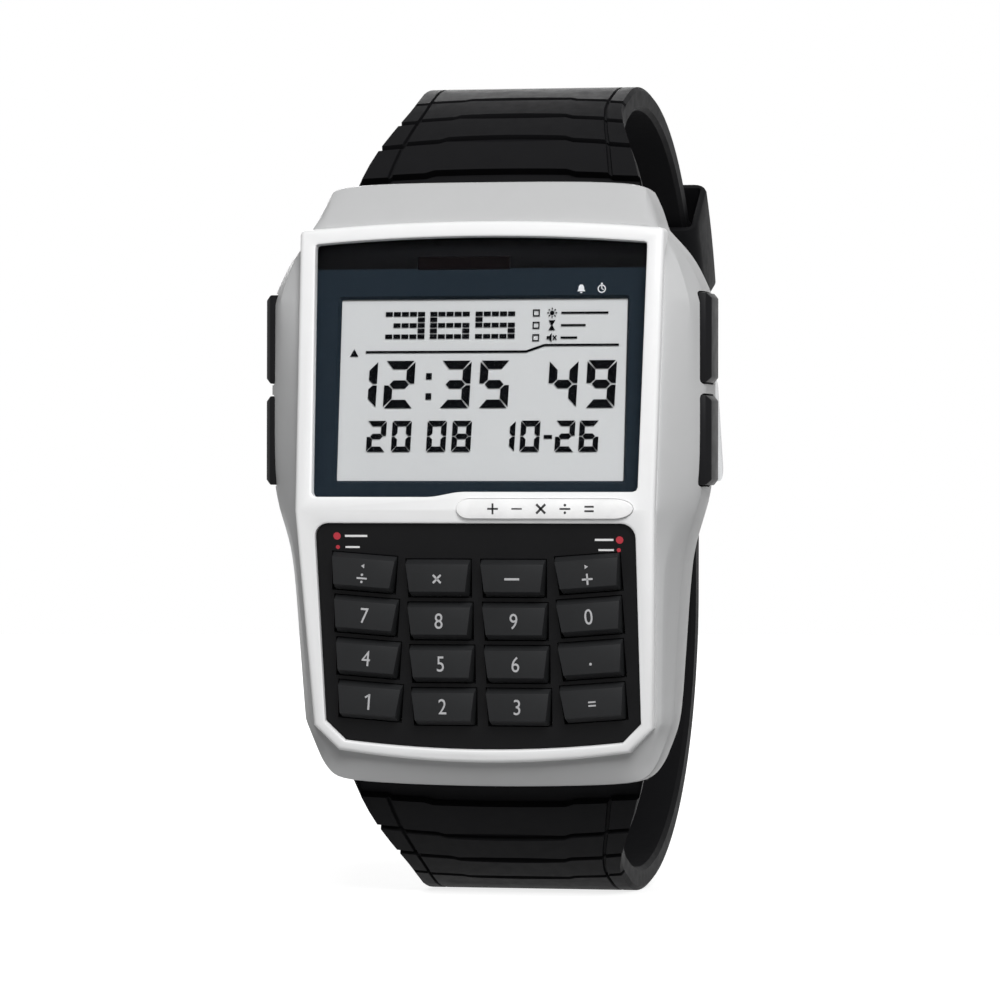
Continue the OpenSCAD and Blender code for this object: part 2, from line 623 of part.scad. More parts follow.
module key_membrane() {
    color([0.75, 0.75, 0.7]) {
        intersection() {
            at_pad() slab(sheet_at, sheet_at + sheet_t) square([pad_in_w, pad_in_h], center = true);
            case_slab(0, case_t) cave_outline(-0.1);
        }
        for (c = [0 : 3], r = [0 : 3]) at_key(c, r) slab(dome_at, sheet_at + 0.01) circle(1.2, $fn = 24);
    }
}
module keypad_board() {
    color([0.1, 0.35, 0.2]) difference() {
        intersection() {
            at_pad() slab(pad_board_at, pad_board_at + 0.6) square([pad_in_w, pad_in_h], center = true);
            case_slab(0, case_t) cave_outline(-0.1);
        }
        for (x = [-1, 1]) at_pad() translate([x * (pad_in_w / 2 - 1.2), 0, pad_in_h / 2 - 1]) slab(0, 20) circle(0.5);
    }
}
carrier_at = pad_board_at + 0.6 + seat_gap;
module keypad_carrier() {
    color([0.85, 0.85, 0.82]) intersection() {
        at_pad() difference() {
            slab(carrier_at, carrier_at + 6) square([pad_in_w - 0.6, pad_in_h - 0.6], center = true);
            slab(carrier_at + 0.8, carrier_at + 20) square([pad_in_w - 3.4, pad_in_h - 3], center = true);
        }
        case_slab(0, back_face - 0.1) square([40, 70], center = true);
        case_slab(0, case_t) cave_outline(-0.15);
    }
}
module buzzer_disc() {
    color([0.8, 0.65, 0.3]) translate([0, 0, ridge_z + pad_mid + 1.1]) case_slab(back_face - 0.35, back_face - 0.05) circle(6);
}
module board_ribbon() {
    back = board_at + board_t;
    color([0.7, 0.45, 0.15]) {
        on_display() translate([0, 0, lcd_mid - lcd_h / 2 - 2.5]) slab(back + 0.03, back + 0.18) square([10, 1.8], center = true);
        side_slab(5) polygon([
            [back - 0.05, ridge_z - 0.75], [back + 0.2, ridge_z - 0.75], [pad_board_at + 1, ridge_z - 1.85],
            [pad_board_at + 0.7, ridge_z - 1.85]
        ]);
    }
}

/* Pushers */
module pusher(side) {
    b = 0.5;
    l = pusher_l / 2;
    t = pusher_t / 2;
    out = hw + pusher_out;
    color([0.13, 0.13, 0.135]) at_pusher(side) difference() {
        union() {
            polyhedron(
                [for (x = [[head_in, 0, 0], [out - b, 0, 0], [out, b, b]], q = [[-1, -1], [1, -1], [1, 1], [-1, 1]])
                    [x[0], q[0] * (t - x[1]), q[1] * (l - x[2])]],
                concat([[0, 1, 2, 3], [11, 10, 9, 8]],
                       [for (k = [0, 4], i = [0 : 3]) [k + i, k + 4 + i, k + 4 + (i + 1) % 4, k + (i + 1) % 4]])
            );
            cross_rod(stem_r, stem_end, head_in + 0.5);
        }
        difference() {
            cross_rod(stem_r + 1, cave_x - 0.43, cave_x - 0.07);
            cross_rod(stem_r - 0.3, cave_x - 2, cave_x);
        }
    }
}
module clip(side) {
    color(steel) at_pusher(side) difference() {
        cross_rod(stem_r + 0.5, cave_x - 0.4, cave_x - 0.1);
        cross_rod(stem_r - 0.28, cave_x - 2, cave_x);
        translate([cave_x - 2, -0.55, 0]) cube([3, 1.1, 3]);
    }
}
// Coil along X between two distances from the middle
module coil(r, wire, from, to, turns) {
    steps = turns * 14;
    n = 6;
    points = [for (i = [0 : steps], j = [0 : n - 1])
        let (a = 360 * i / 14, b = 360 * j / n, q = r + wire * cos(b))
        [from + wire + (to - from - 2 * wire) * i / steps + wire * sin(b), q * cos(a), q * sin(a)]];
    polyhedron(points, concat(
        [[for (j = [0 : n - 1]) j], [for (j = [n - 1 : -1 : 0]) steps * n + j]],
        [for (i = [0 : steps - 1], j = [0 : n - 1]) each [
            [i * n + j, (i + 1) * n + j, i * n + (j + 1) % n],
            [i * n + (j + 1) % n, (i + 1) * n + j, (i + 1) * n + (j + 1) % n]]]
    ));
}
module pusher_springs() {
    color(steel) for (side = SIDES) at_pusher(side)
        coil(stem_r + 0.35, 0.15, well_x + 0.03, head_in - 0.03, 3);
}
module pusher_seals() {
    color(black_rubber) for (side = SIDES) at_pusher(side) difference() {
        cross_rod(stem_r + 0.45, cave_x + 0.22, cave_x + 0.68);
        cross_rod(stem_r + 0.02, cave_x, cave_x + 1);
    }
}
module spring_bars() {
    color(steel) for (side = [-1, 1]) translate([0, depth_y(bar_depth), side * bar_z]) {
        cross_rod(bar_r, -slot_x + 0.15, slot_x - 0.15);
        cross_rod(pin_r, -pin_end, pin_end);
    }
}

/* Strap */
back_y = wrist_d / 2 + strap_t / 2;
rear_y = back_y - bend_r;
rear_z = loop_h / 2 - bend_r;
bar_y = depth_y(bar_depth);
rise = loop_h / 2 - bar_z;
run = rear_y - bar_y;
neck_r = (run * run + rise * rise) / (2 * rise);
neck_a = atan2(run, neck_r - rise);
neck_l = neck_r * neck_a * PI / 180;
arc_l = bend_r * PI / 2;
flat_l = 2 * rear_z;
// The loop's middle line as [y, z, outward y, outward z] at a length from a spring bar
function loop_at(s) =
    s < neck_l ? let (a = neck_a - s / neck_r * 180 / PI)
        [rear_y - neck_r * sin(a), loop_h / 2 - neck_r + neck_r * cos(a), -sin(a), cos(a)] :
    s < neck_l + arc_l ? let (a = (s - neck_l) / bend_r * 180 / PI)
        [rear_y + bend_r * sin(a), rear_z + bend_r * cos(a), sin(a), cos(a)] :
    s < neck_l + arc_l + flat_l ? [back_y, rear_z - (s - neck_l - arc_l), 1, 0] :
    let (a = (s - neck_l - arc_l - flat_l) / bend_r * 180 / PI)
        [rear_y + bend_r * cos(a), -rear_z - bend_r * sin(a), cos(a), -sin(a)];
function ease(u) = u <= 0 ? 0 : u >= 1 ? 1 : u * u * (3 - 2 * u);
layer = 3.3;            // rise of the long strap over the short one
buckle_z = 10;          // height of the buckle's bar
cross_z = 2.2;          // height of the buckle's crossbar
cross_r = 1.0;
cross_y = back_y + 0.25 + strap_t / 2 + 0.4 + cross_r;
loop_bar_r = 0.75;
loop_y = back_y - 0.4;
loop_r = loop_bar_r + 1.15;
flat_s = neck_l + arc_l;                    // where the straight back of the loop begins
short_end = flat_s + rear_z - buckle_z;     // where the short strap meets the buckle's bar
// Rise of the long strap over the loop's middle line
function lift(s) = layer * ease((s - flat_s - rear_z - 1) / 7.6);
function half_width(s) =
    strap_w / 2 - 0.05 - (strap_w - strap_back_w) / 2 * ease(s / taper_l);
taper_l = 15.3;         // length over which a strap narrows
tip_s = flat_s + flat_l + bend_r * 38 * PI / 180;
groove = 0.45;
GROOVES = [5.6, 9.8, 13.6];
function dip(s) = max([for (g = GROOVES) max(0, 1 - abs(s - g) / 0.5)]) * groove;
// One ring across the strap at a length s, raised over the middle line, narrowed by cut
function strap_ring(s, up, cut, flip) =
    let (p = loop_at(s), w = half_width(s) - cut, t = strap_t / 2, c = 0.45, d = dip(s))
    [for (q = [[-w, -t + c], [-w, t - c - d], [-w + c, t - d], [w - c, t - d], [w, t - c - d],
               [w, -t + c], [w - c, -t], [-w + c, -t]])
        [flip * q[0], p[0] + (q[1] + up) * p[2], flip * (p[1] + (q[1] + up) * p[3])]];
function near_grooves(from, to) = [for (g = GROOVES, k = [-0.5, 0, 0.5]) if (g + k > from && g + k < to) g + k];
// Solid through a list of equal rings, closed by flat ends
module tube(rings) {
    n = len(rings[0]);
    m = len(rings);
    polyhedron([for (r = rings) each r], concat(
        [[for (j = [0 : n - 1]) j], [for (j = [n - 1 : -1 : 0]) (m - 1) * n + j]],
        [for (i = [0 : m - 2], j = [0 : n - 1]) each [
            [i * n + j, (i + 1) * n + j, i * n + (j + 1) % n],
            [i * n + (j + 1) % n, (i + 1) * n + j, (i + 1) * n + (j + 1) % n]]]
    ));
}
NECK = [for (s = [1, 3, 5.1, 5.6, 6.1, 8, 9.3, 9.8, 10.3, 12, 13.1, 13.6, 14.1]) s];
function steps(from, to, n) = [for (i = [0 : n]) from + (to - from) * i / n];
module knuckle() {
    translate([0, bar_y, bar_z]) cross_rod(knuckle_r, -strap_w / 2, strap_w / 2);
}
module bar_bore() {
    translate([0, bar_y, bar_z]) cross_rod(bar_r + 0.05, -strap_w, strap_w);
}
tongue_w = 2.0;
module strap_upper() {
    color(black_rubber) difference() {
        union() {
            tube([for (s = concat(NECK, steps(16, short_end, 22))) strap_ring(s, 0, 0, 1)]);
            knuckle();
            translate([0, loop_y, buckle_z])
                cross_rod(loop_r, -half_width(short_end) + 0.1, half_width(short_end) - 0.1);
        }
        bar_bore();
        translate([0, loop_y, buckle_z]) {
            cross_rod(loop_bar_r + 0.05, -20, 20);
            translate([-tongue_w / 2 - 0.4, -5, -6]) cube([tongue_w + 0.8, 10, 8.6]);
        }
    }
}
hole_s = flat_s + rear_z + 6.3;             // where the tongue crosses the long strap
hole_w = 2.5;
hole_h = 4.4;
module strap_lower() {
    color(black_rubber) difference() {
        union() {
            tube(concat(
                [for (s = concat(NECK, steps(16, flat_s + rear_z, 20))) strap_ring(s, lift(s), 0, -1)],
                [for (s = steps(flat_s + rear_z + 1, tip_s - 3, 20)) strap_ring(s, lift(s), 0, -1)],
                [for (c = [[2, 0.6], [1, 1.8], [0.3, 3.4], [0, 5]]) strap_ring(tip_s - c[0], layer, c[1], -1)]
            ));
            mirror([0, 0, 1]) knuckle();
        }
        mirror([0, 0, 1]) bar_bore();
        for (i = [-4 : 2]) {
            s = hole_s + i * hole_pitch;
            p = loop_at(s);
            lean = i == 0 ? -28 : 0;
            translate([0, p[0] + p[2] * lift(s), -(p[1] + p[3] * lift(s))])
                rotate([lean - atan2(p[3], p[2]), 0, 0]) {
                    l = i == 0 ? hole_h : hole_h - 1.2;
                    translate([-hole_w / 2, -4, -l / 2]) cube([hole_w, 8, l]);
                }
        }
    }
}

/* Buckle */
frame_in = strap_back_w / 2 + 0.55;
arm_t = 1.4;
module buckle_frame() {
    color(steel) difference() {
        union() {
            for (side = [-1, 1]) hull() {
                translate([side * (frame_in + arm_t / 2), loop_y, buckle_z]) cross_rod(1.8, -arm_t / 2, arm_t / 2);
                translate([side * (frame_in + arm_t / 2), cross_y, cross_z]) cross_rod(1.3, -arm_t / 2, arm_t / 2);
            }
            translate([0, cross_y, cross_z]) cross_rod(cross_r, -frame_in - 0.1, frame_in + 0.1);
        }
        translate([0, loop_y, buckle_z]) cross_rod(loop_bar_r - 0.2 + 0.02, -20, 20);
    }
}
module buckle_bar() {
    color(steel) translate([0, loop_y, buckle_z]) {
        cross_rod(loop_bar_r, -frame_in + 0.1, frame_in - 0.1);
        cross_rod(loop_bar_r - 0.2, -frame_in - arm_t + 0.05, frame_in + arm_t - 0.05);
    }
}
tongue_t = 0.9;
tongue_eye = loop_bar_r + 0.75;
tongue_l = norm([cross_y - loop_y, buckle_z - cross_z]);
tongue_lean = atan2(cross_y - loop_y, buckle_z - cross_z);
module buckle_tongue() {
    over = cross_r + 0.06;
    l = tongue_l;
    t = tongue_t;
    color(steel) translate([0, loop_y, buckle_z]) rotate([tongue_lean, 0, 0]) difference() {
        union() {
            cross_rod(tongue_eye, -tongue_w / 2, tongue_w / 2);
            translate([-tongue_w / 2, 0, 0]) rotate([0, 90, 0]) linear_extrude(tongue_w) polygon([
                [0, tongue_eye - 0.05], [0.4 * l, 0.65 + t], [l - 0.5, over + t], [l + 1.2, over + t + 0.1],
                [l + 1.5, over + t - 0.3], [l + 1.5, over + 0.15], [l - 0.5, over], [0.4 * l, 0.65], [0, 0.8]
            ]);
        }
        cross_rod(loop_bar_r + 0.05, -5, 5);
    }
}
keeper_a = 61;          // place of the keeper on the upper bend, from the loop's top
keeper_gap = 0.66;
keeper_wall = 0.7;
keeper_l = 9.5;
// Arched block round the upper bend, between two radii and over a length along the straps
module bend_block(half_width, low, high, l) {
    half = l / bend_r * 90 / PI;
    turns = [for (i = [-3 : 3]) keeper_a + half * i / 3];
    translate([-half_width, rear_y, rear_z]) rotate([90, 0, 90]) linear_extrude(2 * half_width) polygon(concat(
        [for (a = turns) [high * sin(a), high * cos(a)]],
        [for (i = [6 : -1 : 0]) [low * sin(turns[i]), low * cos(turns[i])]]
    ));
}
module strap_keeper() {
    w = strap_back_w / 2 + keeper_gap;
    low = bend_r - strap_t / 2 - keeper_gap;
    high = bend_r + layer + strap_t / 2 + keeper_gap;
    color(black_rubber) difference() {
        bend_block(w + keeper_wall, low - keeper_wall, high + keeper_wall, keeper_l);
        bend_block(w, low, high, 2 * keeper_l);
    }
}

case_shell();
bezel_frame();
badge_plate();
window_glass();
display_surround();
sensor_bar();
lcd_panel();
lcd_figures();
light_guide();
backlight_led();
zebra_strips();
module_frame();
main_board();
clock_chip();
quartz_can();
battery_cell();
battery_clip();
keypad_plate();
key(0, 0);  // key_divide
key(1, 0);  // key_times
key(2, 0);  // key_minus
key(3, 0);  // key_plus
key(0, 1);  // key_7
key(1, 1);  // key_8
key(2, 1);  // key_9
key(3, 1);  // key_0
key(0, 2);  // key_4
key(1, 2);  // key_5
key(2, 2);  // key_6
key(3, 2);  // key_point
key(0, 3);  // key_1
key(1, 3);  // key_2
key(2, 3);  // key_3
key(3, 3);  // key_equals
key_membrane();
keypad_board();
board_ribbon();
keypad_carrier();
buzzer_disc();
case_back();
back_gasket();
back_screws();
spring_bars();
pusher("upper_left");  // pusher_upper_left
pusher("lower_left");  // pusher_lower_left
pusher("upper_right");  // pusher_upper_right
pusher("lower_right");  // pusher_lower_right
clip("upper_left");  // clip_upper_left
clip("lower_left");  // clip_lower_left
clip("upper_right");  // clip_upper_right
clip("lower_right");  // clip_lower_right
pusher_springs();
pusher_seals();
strap_upper();
strap_lower();
buckle_frame();
buckle_tongue();
buckle_bar();
strap_keeper();
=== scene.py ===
import json
import math
from collections import namedtuple
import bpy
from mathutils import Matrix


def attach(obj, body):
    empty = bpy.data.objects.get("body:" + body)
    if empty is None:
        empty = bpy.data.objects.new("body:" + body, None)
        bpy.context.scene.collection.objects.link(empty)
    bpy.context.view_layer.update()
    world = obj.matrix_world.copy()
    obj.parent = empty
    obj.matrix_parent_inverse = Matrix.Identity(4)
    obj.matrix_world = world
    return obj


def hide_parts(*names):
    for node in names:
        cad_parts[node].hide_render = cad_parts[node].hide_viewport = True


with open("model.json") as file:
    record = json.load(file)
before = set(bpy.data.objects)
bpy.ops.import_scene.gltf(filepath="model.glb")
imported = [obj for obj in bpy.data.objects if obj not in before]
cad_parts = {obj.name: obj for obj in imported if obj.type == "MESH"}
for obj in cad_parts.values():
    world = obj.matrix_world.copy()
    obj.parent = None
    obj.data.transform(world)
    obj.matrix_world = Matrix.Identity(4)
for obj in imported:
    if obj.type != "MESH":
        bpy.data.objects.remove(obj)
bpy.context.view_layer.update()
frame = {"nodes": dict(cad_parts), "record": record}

from types import SimpleNamespace

import bmesh
import bpy
from bpy.props import FloatProperty, FloatVectorProperty, PointerProperty
from mathutils import Matrix, Vector

bl_info = {
    "name": "Calculator Watch",
    "version": (1, 0, 0),
    "blender": (4, 5, 0),
    "location": "3D View > Sidebar > Watch",
    "description": "Dresses the packed calculator watch with its finished pieces",
    "category": "Object",
}

# Shapes are modelled in millimetres and brought to metres when a piece is finished.
MM = 0.001
KEY_NAMES = (("divide", "times", "minus", "plus"), ("7", "8", "9", "0"),
             ("4", "5", "6", "point"), ("1", "2", "3", "equals"))
SIDES = ("upper_left", "lower_left", "upper_right", "lower_right")
# The dark bar over the display: off the middle, and below the window's upper edge
SENSOR_X, SENSOR_DROP = -2.0, 2.25
# Lower edge of the dark band, up the leaning display from the ridge
BAND_FOOT = 23.37
# How far a pane's flange reaches behind the bezel's rim
FLANGE = 0.65
# Depth of display and keypad plate below the bezel's leaning faces
LCD_DEPTH, PLATE_DEPTH = 2.65, 0.45
# Where the strap's ribs end, measured from its spring bar
RIBS_END = 18.2
# Height of the buckle's bar, and how far it lies inside the strap's middle line
BUCKLE_Z, BUCKLE_IN = 10.0, 0.4
# How far the long strap climbs over the short one
STRAP_OVER = 3.3
# Radii of a strap's knuckle and of its bore for the spring bar
KNUCKLE_R, BAR_BORE = 2.0, 0.85


def length(name, description, default):
    """A size in metres."""
    return FloatProperty(name=name, description=description, default=default, unit="LENGTH", precision=5)


def angle(name, description, default):
    """An angle given in degrees."""
    return FloatProperty(name=name, description=description, default=math.radians(default), subtype="ANGLE")


def paint(name, description, default):
    """A colour of three parts."""
    return FloatVectorProperty(name=name, description=description, default=default, subtype="COLOR",
                               min=0, max=1)


class WatchCase(bpy.types.PropertyGroup):
    """Sizes and colour of the case"""
    width: length("Width", "Width of the case without the pushers", 0.043)
    thickness: length("Thickness", "From the ridge of the bezel to the back", 0.013)
    wrist: length("Wrist depth", "Depth of the wrist opening", 0.0424)
    waist_in: length("Waist", "Drawing in of the waist on each side", 0.0031)
    hood_in: length("Hood sides", "Drawing in of the hoods on each side", 0.0051)
    hood: length("Upper hood", "Reach of the upper hood beyond the bezel", 0.0039)
    chin: length("Lower hood", "Reach of the lower hood beyond the bezel", 0.0024)
    shoulder: length("Shoulder", "Width of the sloping shoulder beside the bezel", 0.0039)
    bezel_wall: length("Bezel wall", "Height of the bezel's outer wall", 0.002)
    rim: length("Rim", "Thickness of the bezel's inner rim", 0.001)
    head_rim: length("Head rim", "Bezel's rim above the window", 0.00152)
    foot_rim: length("Foot rim", "Bezel's rim below the keypad", 0.00118)
    middle: length("Bezel middle", "Height of the bezel's middle", -0.00045)
    display_tilt: angle("Display tilt", "Lean of the display away from upright", 6.5)
    keypad_tilt: angle("Keypad tilt", "Lean of the keypad away from upright", 11)
    # One silver paint in two tones: the case's is darkened as painted shade, the bezel's lightened as a
    # painted highlight
    silver: paint("Silver", "Colour of the case", (0.5, 0.503, 0.506))
    bright: paint("Bright silver", "Colour of the bezel", (0.84, 0.842, 0.845))


class WatchDisplay(bpy.types.PropertyGroup):
    """Sizes and colours of window and display"""
    rim_w: length("Side rim", "Bezel's rim beside the window", 0.0013)
    window: length("Window height", "Height of the window in the middle", 0.0246)
    bow: length("Bow", "Rise of the bowed upper edges", 0.0011)
    margin: length("Margin", "Surround beside the visible display", 0.0022)
    lcd_h: length("Display height", "Height of the visible display", 0.0176)
    mask: paint("Mask", "Colour of the surround", (0.0125, 0.0195, 0.027))
    band: paint("Band", "Colour of the band over the display", (0.0012, 0.0012, 0.0014))
    lcd: paint("Display", "Colour of the unlit display", (0.61, 0.605, 0.595))
    ink: paint("Figures", "Colour of the figures", (0.0012, 0.0014, 0.002))
    label: paint("Label", "Colour of the label between display and keypad", (0.88, 0.88, 0.88))


class WatchKeypad(bpy.types.PropertyGroup):
    """Sizes and colours of the keypad"""
    rim_w: length("Side rim", "Bezel's rim beside the keypad", 0.0019)
    opening: length("Opening", "Height of the keypad opening in the middle", 0.0222)
    key_space: length("Key space", "Space between the keys of a row", 0.00105)
    pitch: length("Row pitch", "Distance between rows", 0.0042)
    key_h: length("Key height", "Height of a key at its base", 0.0036)
    rise: length("Key rise", "Stand of a key above the plate", 0.00125)
    plate: paint("Plate", "Colour of the keypad plate", (0.0065, 0.0065, 0.007))
    key: paint("Keys", "Colour of the keys", (0.0175, 0.018, 0.019))
    legend: paint("Legends", "Colour of the printed figures", (0.42, 0.42, 0.43))
    dot: paint("Dots", "Colour of the printed dots", (0.42, 0.02, 0.035))


class WatchStrap(bpy.types.PropertyGroup):
    """Sizes and colour of strap and buckle"""
    thickness: length("Thickness", "Thickness of the strap", 0.0023)
    back_width: length("Back width", "Width of the strap behind the wrist", 0.0216)
    loop: length("Loop height", "Height of the loop to the strap's middle line", 0.0776)
    bend: length("Rear bend", "Radius of the loop's two rear bends", 0.0282)
    bar_depth: length("Bar depth", "Depth of the spring bars below the ridge", 0.0104)
    bar_inset: length("Bar inset", "Distance of a spring bar from the case's end", 0.00295)
    pitch: length("Hole pitch", "Distance between the adjustment holes", 0.0065)
    rubber: paint("Rubber", "Colour of the strap", (0.0065, 0.0065, 0.0072))


class WatchStage(bpy.types.PropertyGroup):
    """Light and floor"""
    fill: FloatProperty(name="Fill", description="Strength of the light from all round", default=0.03, min=0)
    lamp: FloatProperty(name="Lamp", description="Power of the main lamp in watts", default=10.8, min=0)
    glow: FloatProperty(name="Floor glow", description="White that the camera sees on the floor",
                        default=0.8, min=0)
    floor: paint("Floor", "Colour of the floor", (0.36, 0.36, 0.36))


def measures():
    """The sizes of the sidebar in millimetres, with the places that follow from them."""
    scene = bpy.context.scene
    m = SimpleNamespace()
    for group in (scene.watch_case, scene.watch_display, scene.watch_keypad, scene.watch_strap):
        prefix = group.bl_rna.name.replace("Watch", "").lower() + "_"
        for key in group.bl_rna.properties.keys():
            value = getattr(group, key)
            if isinstance(value, float) and key not in ("display_tilt", "keypad_tilt"):
                setattr(m, prefix + key, value / MM)
    m.dt, m.kt = scene.watch_case.display_tilt, scene.watch_case.keypad_tilt
    m.front_y = -(m.case_thickness + m.case_wrist / 2)
    # Half widths of case, bezel and openings
    m.hw = m.case_width / 2
    m.waist_x = m.hw - m.case_waist_in
    m.hood_x = m.hw - m.case_hood_in
    m.bezel_x = m.hw - m.case_shoulder
    m.foot_x = m.bezel_x - 0.85
    m.head_x = m.bezel_x + 0.3
    m.window_x = m.bezel_x - m.display_rim_w
    m.pad_x = m.bezel_x - m.keypad_rim_w
    # Openings, up their own leaning faces from the ridge
    m.window_foot = 1.8
    m.window_top = m.window_foot + m.display_window
    m.pad_top = -1.3
    m.pad_foot = m.pad_top - m.keypad_opening
    # Heights of bezel and case
    m.head_l = m.window_top * math.cos(m.dt) + m.case_head_rim
    m.foot_l = m.case_foot_rim - m.pad_foot * math.cos(m.kt)
    m.ridge_z = m.case_middle - (m.head_l - m.foot_l) / 2
    m.bezel_top = m.ridge_z + m.head_l
    m.bezel_foot = m.ridge_z - m.foot_l
    m.end_top = m.bezel_top + m.case_hood
    m.end_foot = m.bezel_foot - m.case_chin
    m.end_z = (m.end_top - m.end_foot) / 2
    # Spring bars and the strap's slots
    m.bar_z = m.end_z - m.strap_bar_inset
    m.bar_y = m.front_y + m.strap_bar_depth
    m.slot_x = m.hood_x - 1.3
    m.strap_w = 2 * (m.slot_x - 0.2)
    # Display and keys
    m.lcd_w = 2 * (m.window_x - m.display_margin)
    m.lcd_mid = m.window_foot + 1.3 + m.display_lcd_h / 2
    m.pitch_x = (2 * m.pad_x - 2) / 4
    m.key_w = m.pitch_x - m.keypad_key_space
    m.key_mid = m.pad_top - m.keypad_opening / 2 - 0.6
    # Pushers: height, length, thickness and depth, the floor of their pockets, and the case's inner wall
    m.pusher_z, m.pusher_l, m.pusher_t, m.pusher_depth = 9.45, 8.6, 4.4, 7.7
    m.pocket_x = m.hw - 2.55
    m.cave_x = m.hw - 4.9
    return m


# Places on the watch

def at(x=0.0, y=0.0, z=0.0):
    return Matrix.Translation((x, y, z))


def on_display(m, x=0.0, z=0.0):
    """Place on the leaning display: X across, Y into the case, Z up from the ridge."""
    return at(0, m.front_y, m.ridge_z) @ Matrix.Rotation(-m.dt, 4, "X") @ at(x, 0, z)


def on_keypad(m, x=0.0, z=0.0):
    """The same on the leaning keypad."""
    return at(0, m.front_y, m.ridge_z) @ Matrix.Rotation(m.kt, 4, "X") @ at(x, 0, z)


def on_key(m, column, row):
    """Place of a key: the outer columns are turned and sit a little higher."""
    turn = {0: 4.5, 3: -4.5}.get(column, 0)
    z = m.key_mid + (1.5 - row) * m.keypad_pitch + (0.5 if turn else 0)
    return on_keypad(m, (column - 1.5) * m.pitch_x, z) @ Matrix.Rotation(math.radians(turn), 4, "Y")


def at_badge(m):
    """Place of the oblong badge over the ridge."""
    return at(7.0, m.front_y, m.ridge_z + 0.15)


def at_pusher(m, side):
    """Place of a pusher's axis, with X pointing out of the case."""
    up = 1 if side.startswith("upper") else -1
    place = at(0, m.front_y + m.pusher_depth, m.pusher_z + up * (m.pusher_l + 1.2) / 2)
    return place if side.endswith("right") else place @ Matrix.Scale(-1, 4, (1, 0, 0))


def face_depth(m, z):
    """Depth of the bezel's two leaning faces at a height."""
    return (z - m.ridge_z) * math.tan(m.dt) if z > m.ridge_z else (m.ridge_z - z) * math.tan(m.kt)


def ease(u):
    """Runs from 0 to 1 as u does, gently at both ends."""
    u = min(1.0, max(0.0, u))
    return u * u * (3 - 2 * u)


def spaced(start, end, count):
    """The ends and the marks between them that cut a stretch into equal parts."""
    return [start + (end - start) * i / count for i in range(count + 1)]


# Shaping

def verts_of(geom):
    return [g for g in geom if isinstance(g, bmesh.types.BMVert)]


def skin(bm, rings, closed=False):
    """Draws a ring of points out through the following rings; a closed skin runs back to its first ring."""
    verts = [bm.verts.new(p) for p in rings[0]]
    edges = [bm.edges.new((verts[i - 1], verts[i])) for i in range(len(verts))]
    first = edges
    for points in rings[1:] + (rings[:1] if closed else []):
        made = bmesh.ops.extrude_edge_only(bm, edges=edges)["geom"]
        fresh = set(verts_of(made))
        partner = {v: next(e.other_vert(v) for e in v.link_edges if e.other_vert(v) in fresh) for v in verts}
        verts = [partner[v] for v in verts]
        for v, p in zip(verts, points):
            v.co = p
        edges = [g for g in made if isinstance(g, bmesh.types.BMEdge) and fresh.issuperset(g.verts)]
    if closed:
        bmesh.ops.remove_doubles(bm, verts=bm.verts, dist=1e-5)
    else:
        for rim in (first, edges):
            bmesh.ops.contextual_create(bm, geom=rim)


def plate(bm, outline, front, back, place=None):
    """Solid from a front outline of (x, z) points between two depths; returns the front rim's edges."""
    verts = [bm.verts.new((x, front, z)) for x, z in outline]
    face = bm.faces.new(verts)
    rim = list(face.edges)
    moved_verts = verts_of(bmesh.ops.extrude_face_region(bm, geom=[face])["geom"])
    bmesh.ops.translate(bm, verts=moved_verts, vec=(0, back - front, 0))
    if place:
        bmesh.ops.transform(bm, matrix=place, verts=verts + moved_verts)
    return rim


def rod(bm, radius, start, end, segments=32):
    """Round rod between two points."""
    start, end = Vector(start), Vector(end)
    made = bmesh.ops.create_cone(bm, cap_ends=True, segments=segments, radius1=radius, radius2=radius,
                                 depth=(end - start).length)["verts"]
    turn = (end - start).to_track_quat("Z", "Y").to_matrix().to_4x4()
    bmesh.ops.transform(bm, matrix=Matrix.Translation((start + end) / 2) @ turn, verts=made)


def block(bm, low, high, place=None):
    """Square block between two corners."""
    made = bmesh.ops.create_cube(bm, size=1)["verts"]
    low, high = Vector(low), Vector(high)
    bmesh.ops.scale(bm, vec=high - low, verts=made)
    bmesh.ops.translate(bm, vec=(low + high) / 2, verts=made)
    if place:
        bmesh.ops.transform(bm, matrix=place, verts=made)


def soften(bm, edges, width, segments=2):
    """Rounds edges, or bevels them with one segment."""
    bmesh.ops.bevel(bm, geom=list(edges), offset=width, offset_type="OFFSET", segments=segments,
                    profile=0.5, affect="EDGES", clamp_overlap=True, material=-1)


def sharp_edges(bm, degrees):
    """Edges whose faces turn by more than an angle."""
    limit = math.radians(degrees)
    return [e for e in bm.edges if len(e.link_faces) == 2 and e.calc_face_angle(0) > limit]


def edges_along(bm, axis):
    """Edges that run along X, Y or Z, given as 0, 1 or 2."""
    return [e for e in bm.edges if abs((e.verts[0].co - e.verts[1].co).normalized()[axis]) > 0.9]


def grown(outline, by):
    """A clockwise outline moved outwards on every side."""
    result = []
    count = len(outline)
    for i in range(count):
        p, q, r = (Vector(outline[(i + k) % count]) for k in (-1, 0, 1))
        a, b = (q - p).normalized(), (r - q).normalized()
        na, nb = Vector((-a.y, a.x)), Vector((-b.y, b.x))
        n = (na + nb).normalized()
        result.append(tuple(q + n * by / max(0.5, n.dot(na))))
    return result


def level(outline, depth):
    """An outline's points at one depth."""
    return [(x, depth, z) for x, z in outline]


def rounded(w, h, r, steps=6):
    """Clockwise rectangle with rounded corners."""
    points = []
    for cx, cz, start in ((-1, 1, 180), (1, 1, 90), (1, -1, 0), (-1, -1, -90)):
        for i in range(steps + 1):
            a = math.radians(start - 90 * i / steps)
            points.append((cx * (w / 2 - r) + r * math.cos(a), cz * (h / 2 - r) + r * math.sin(a)))
    return points


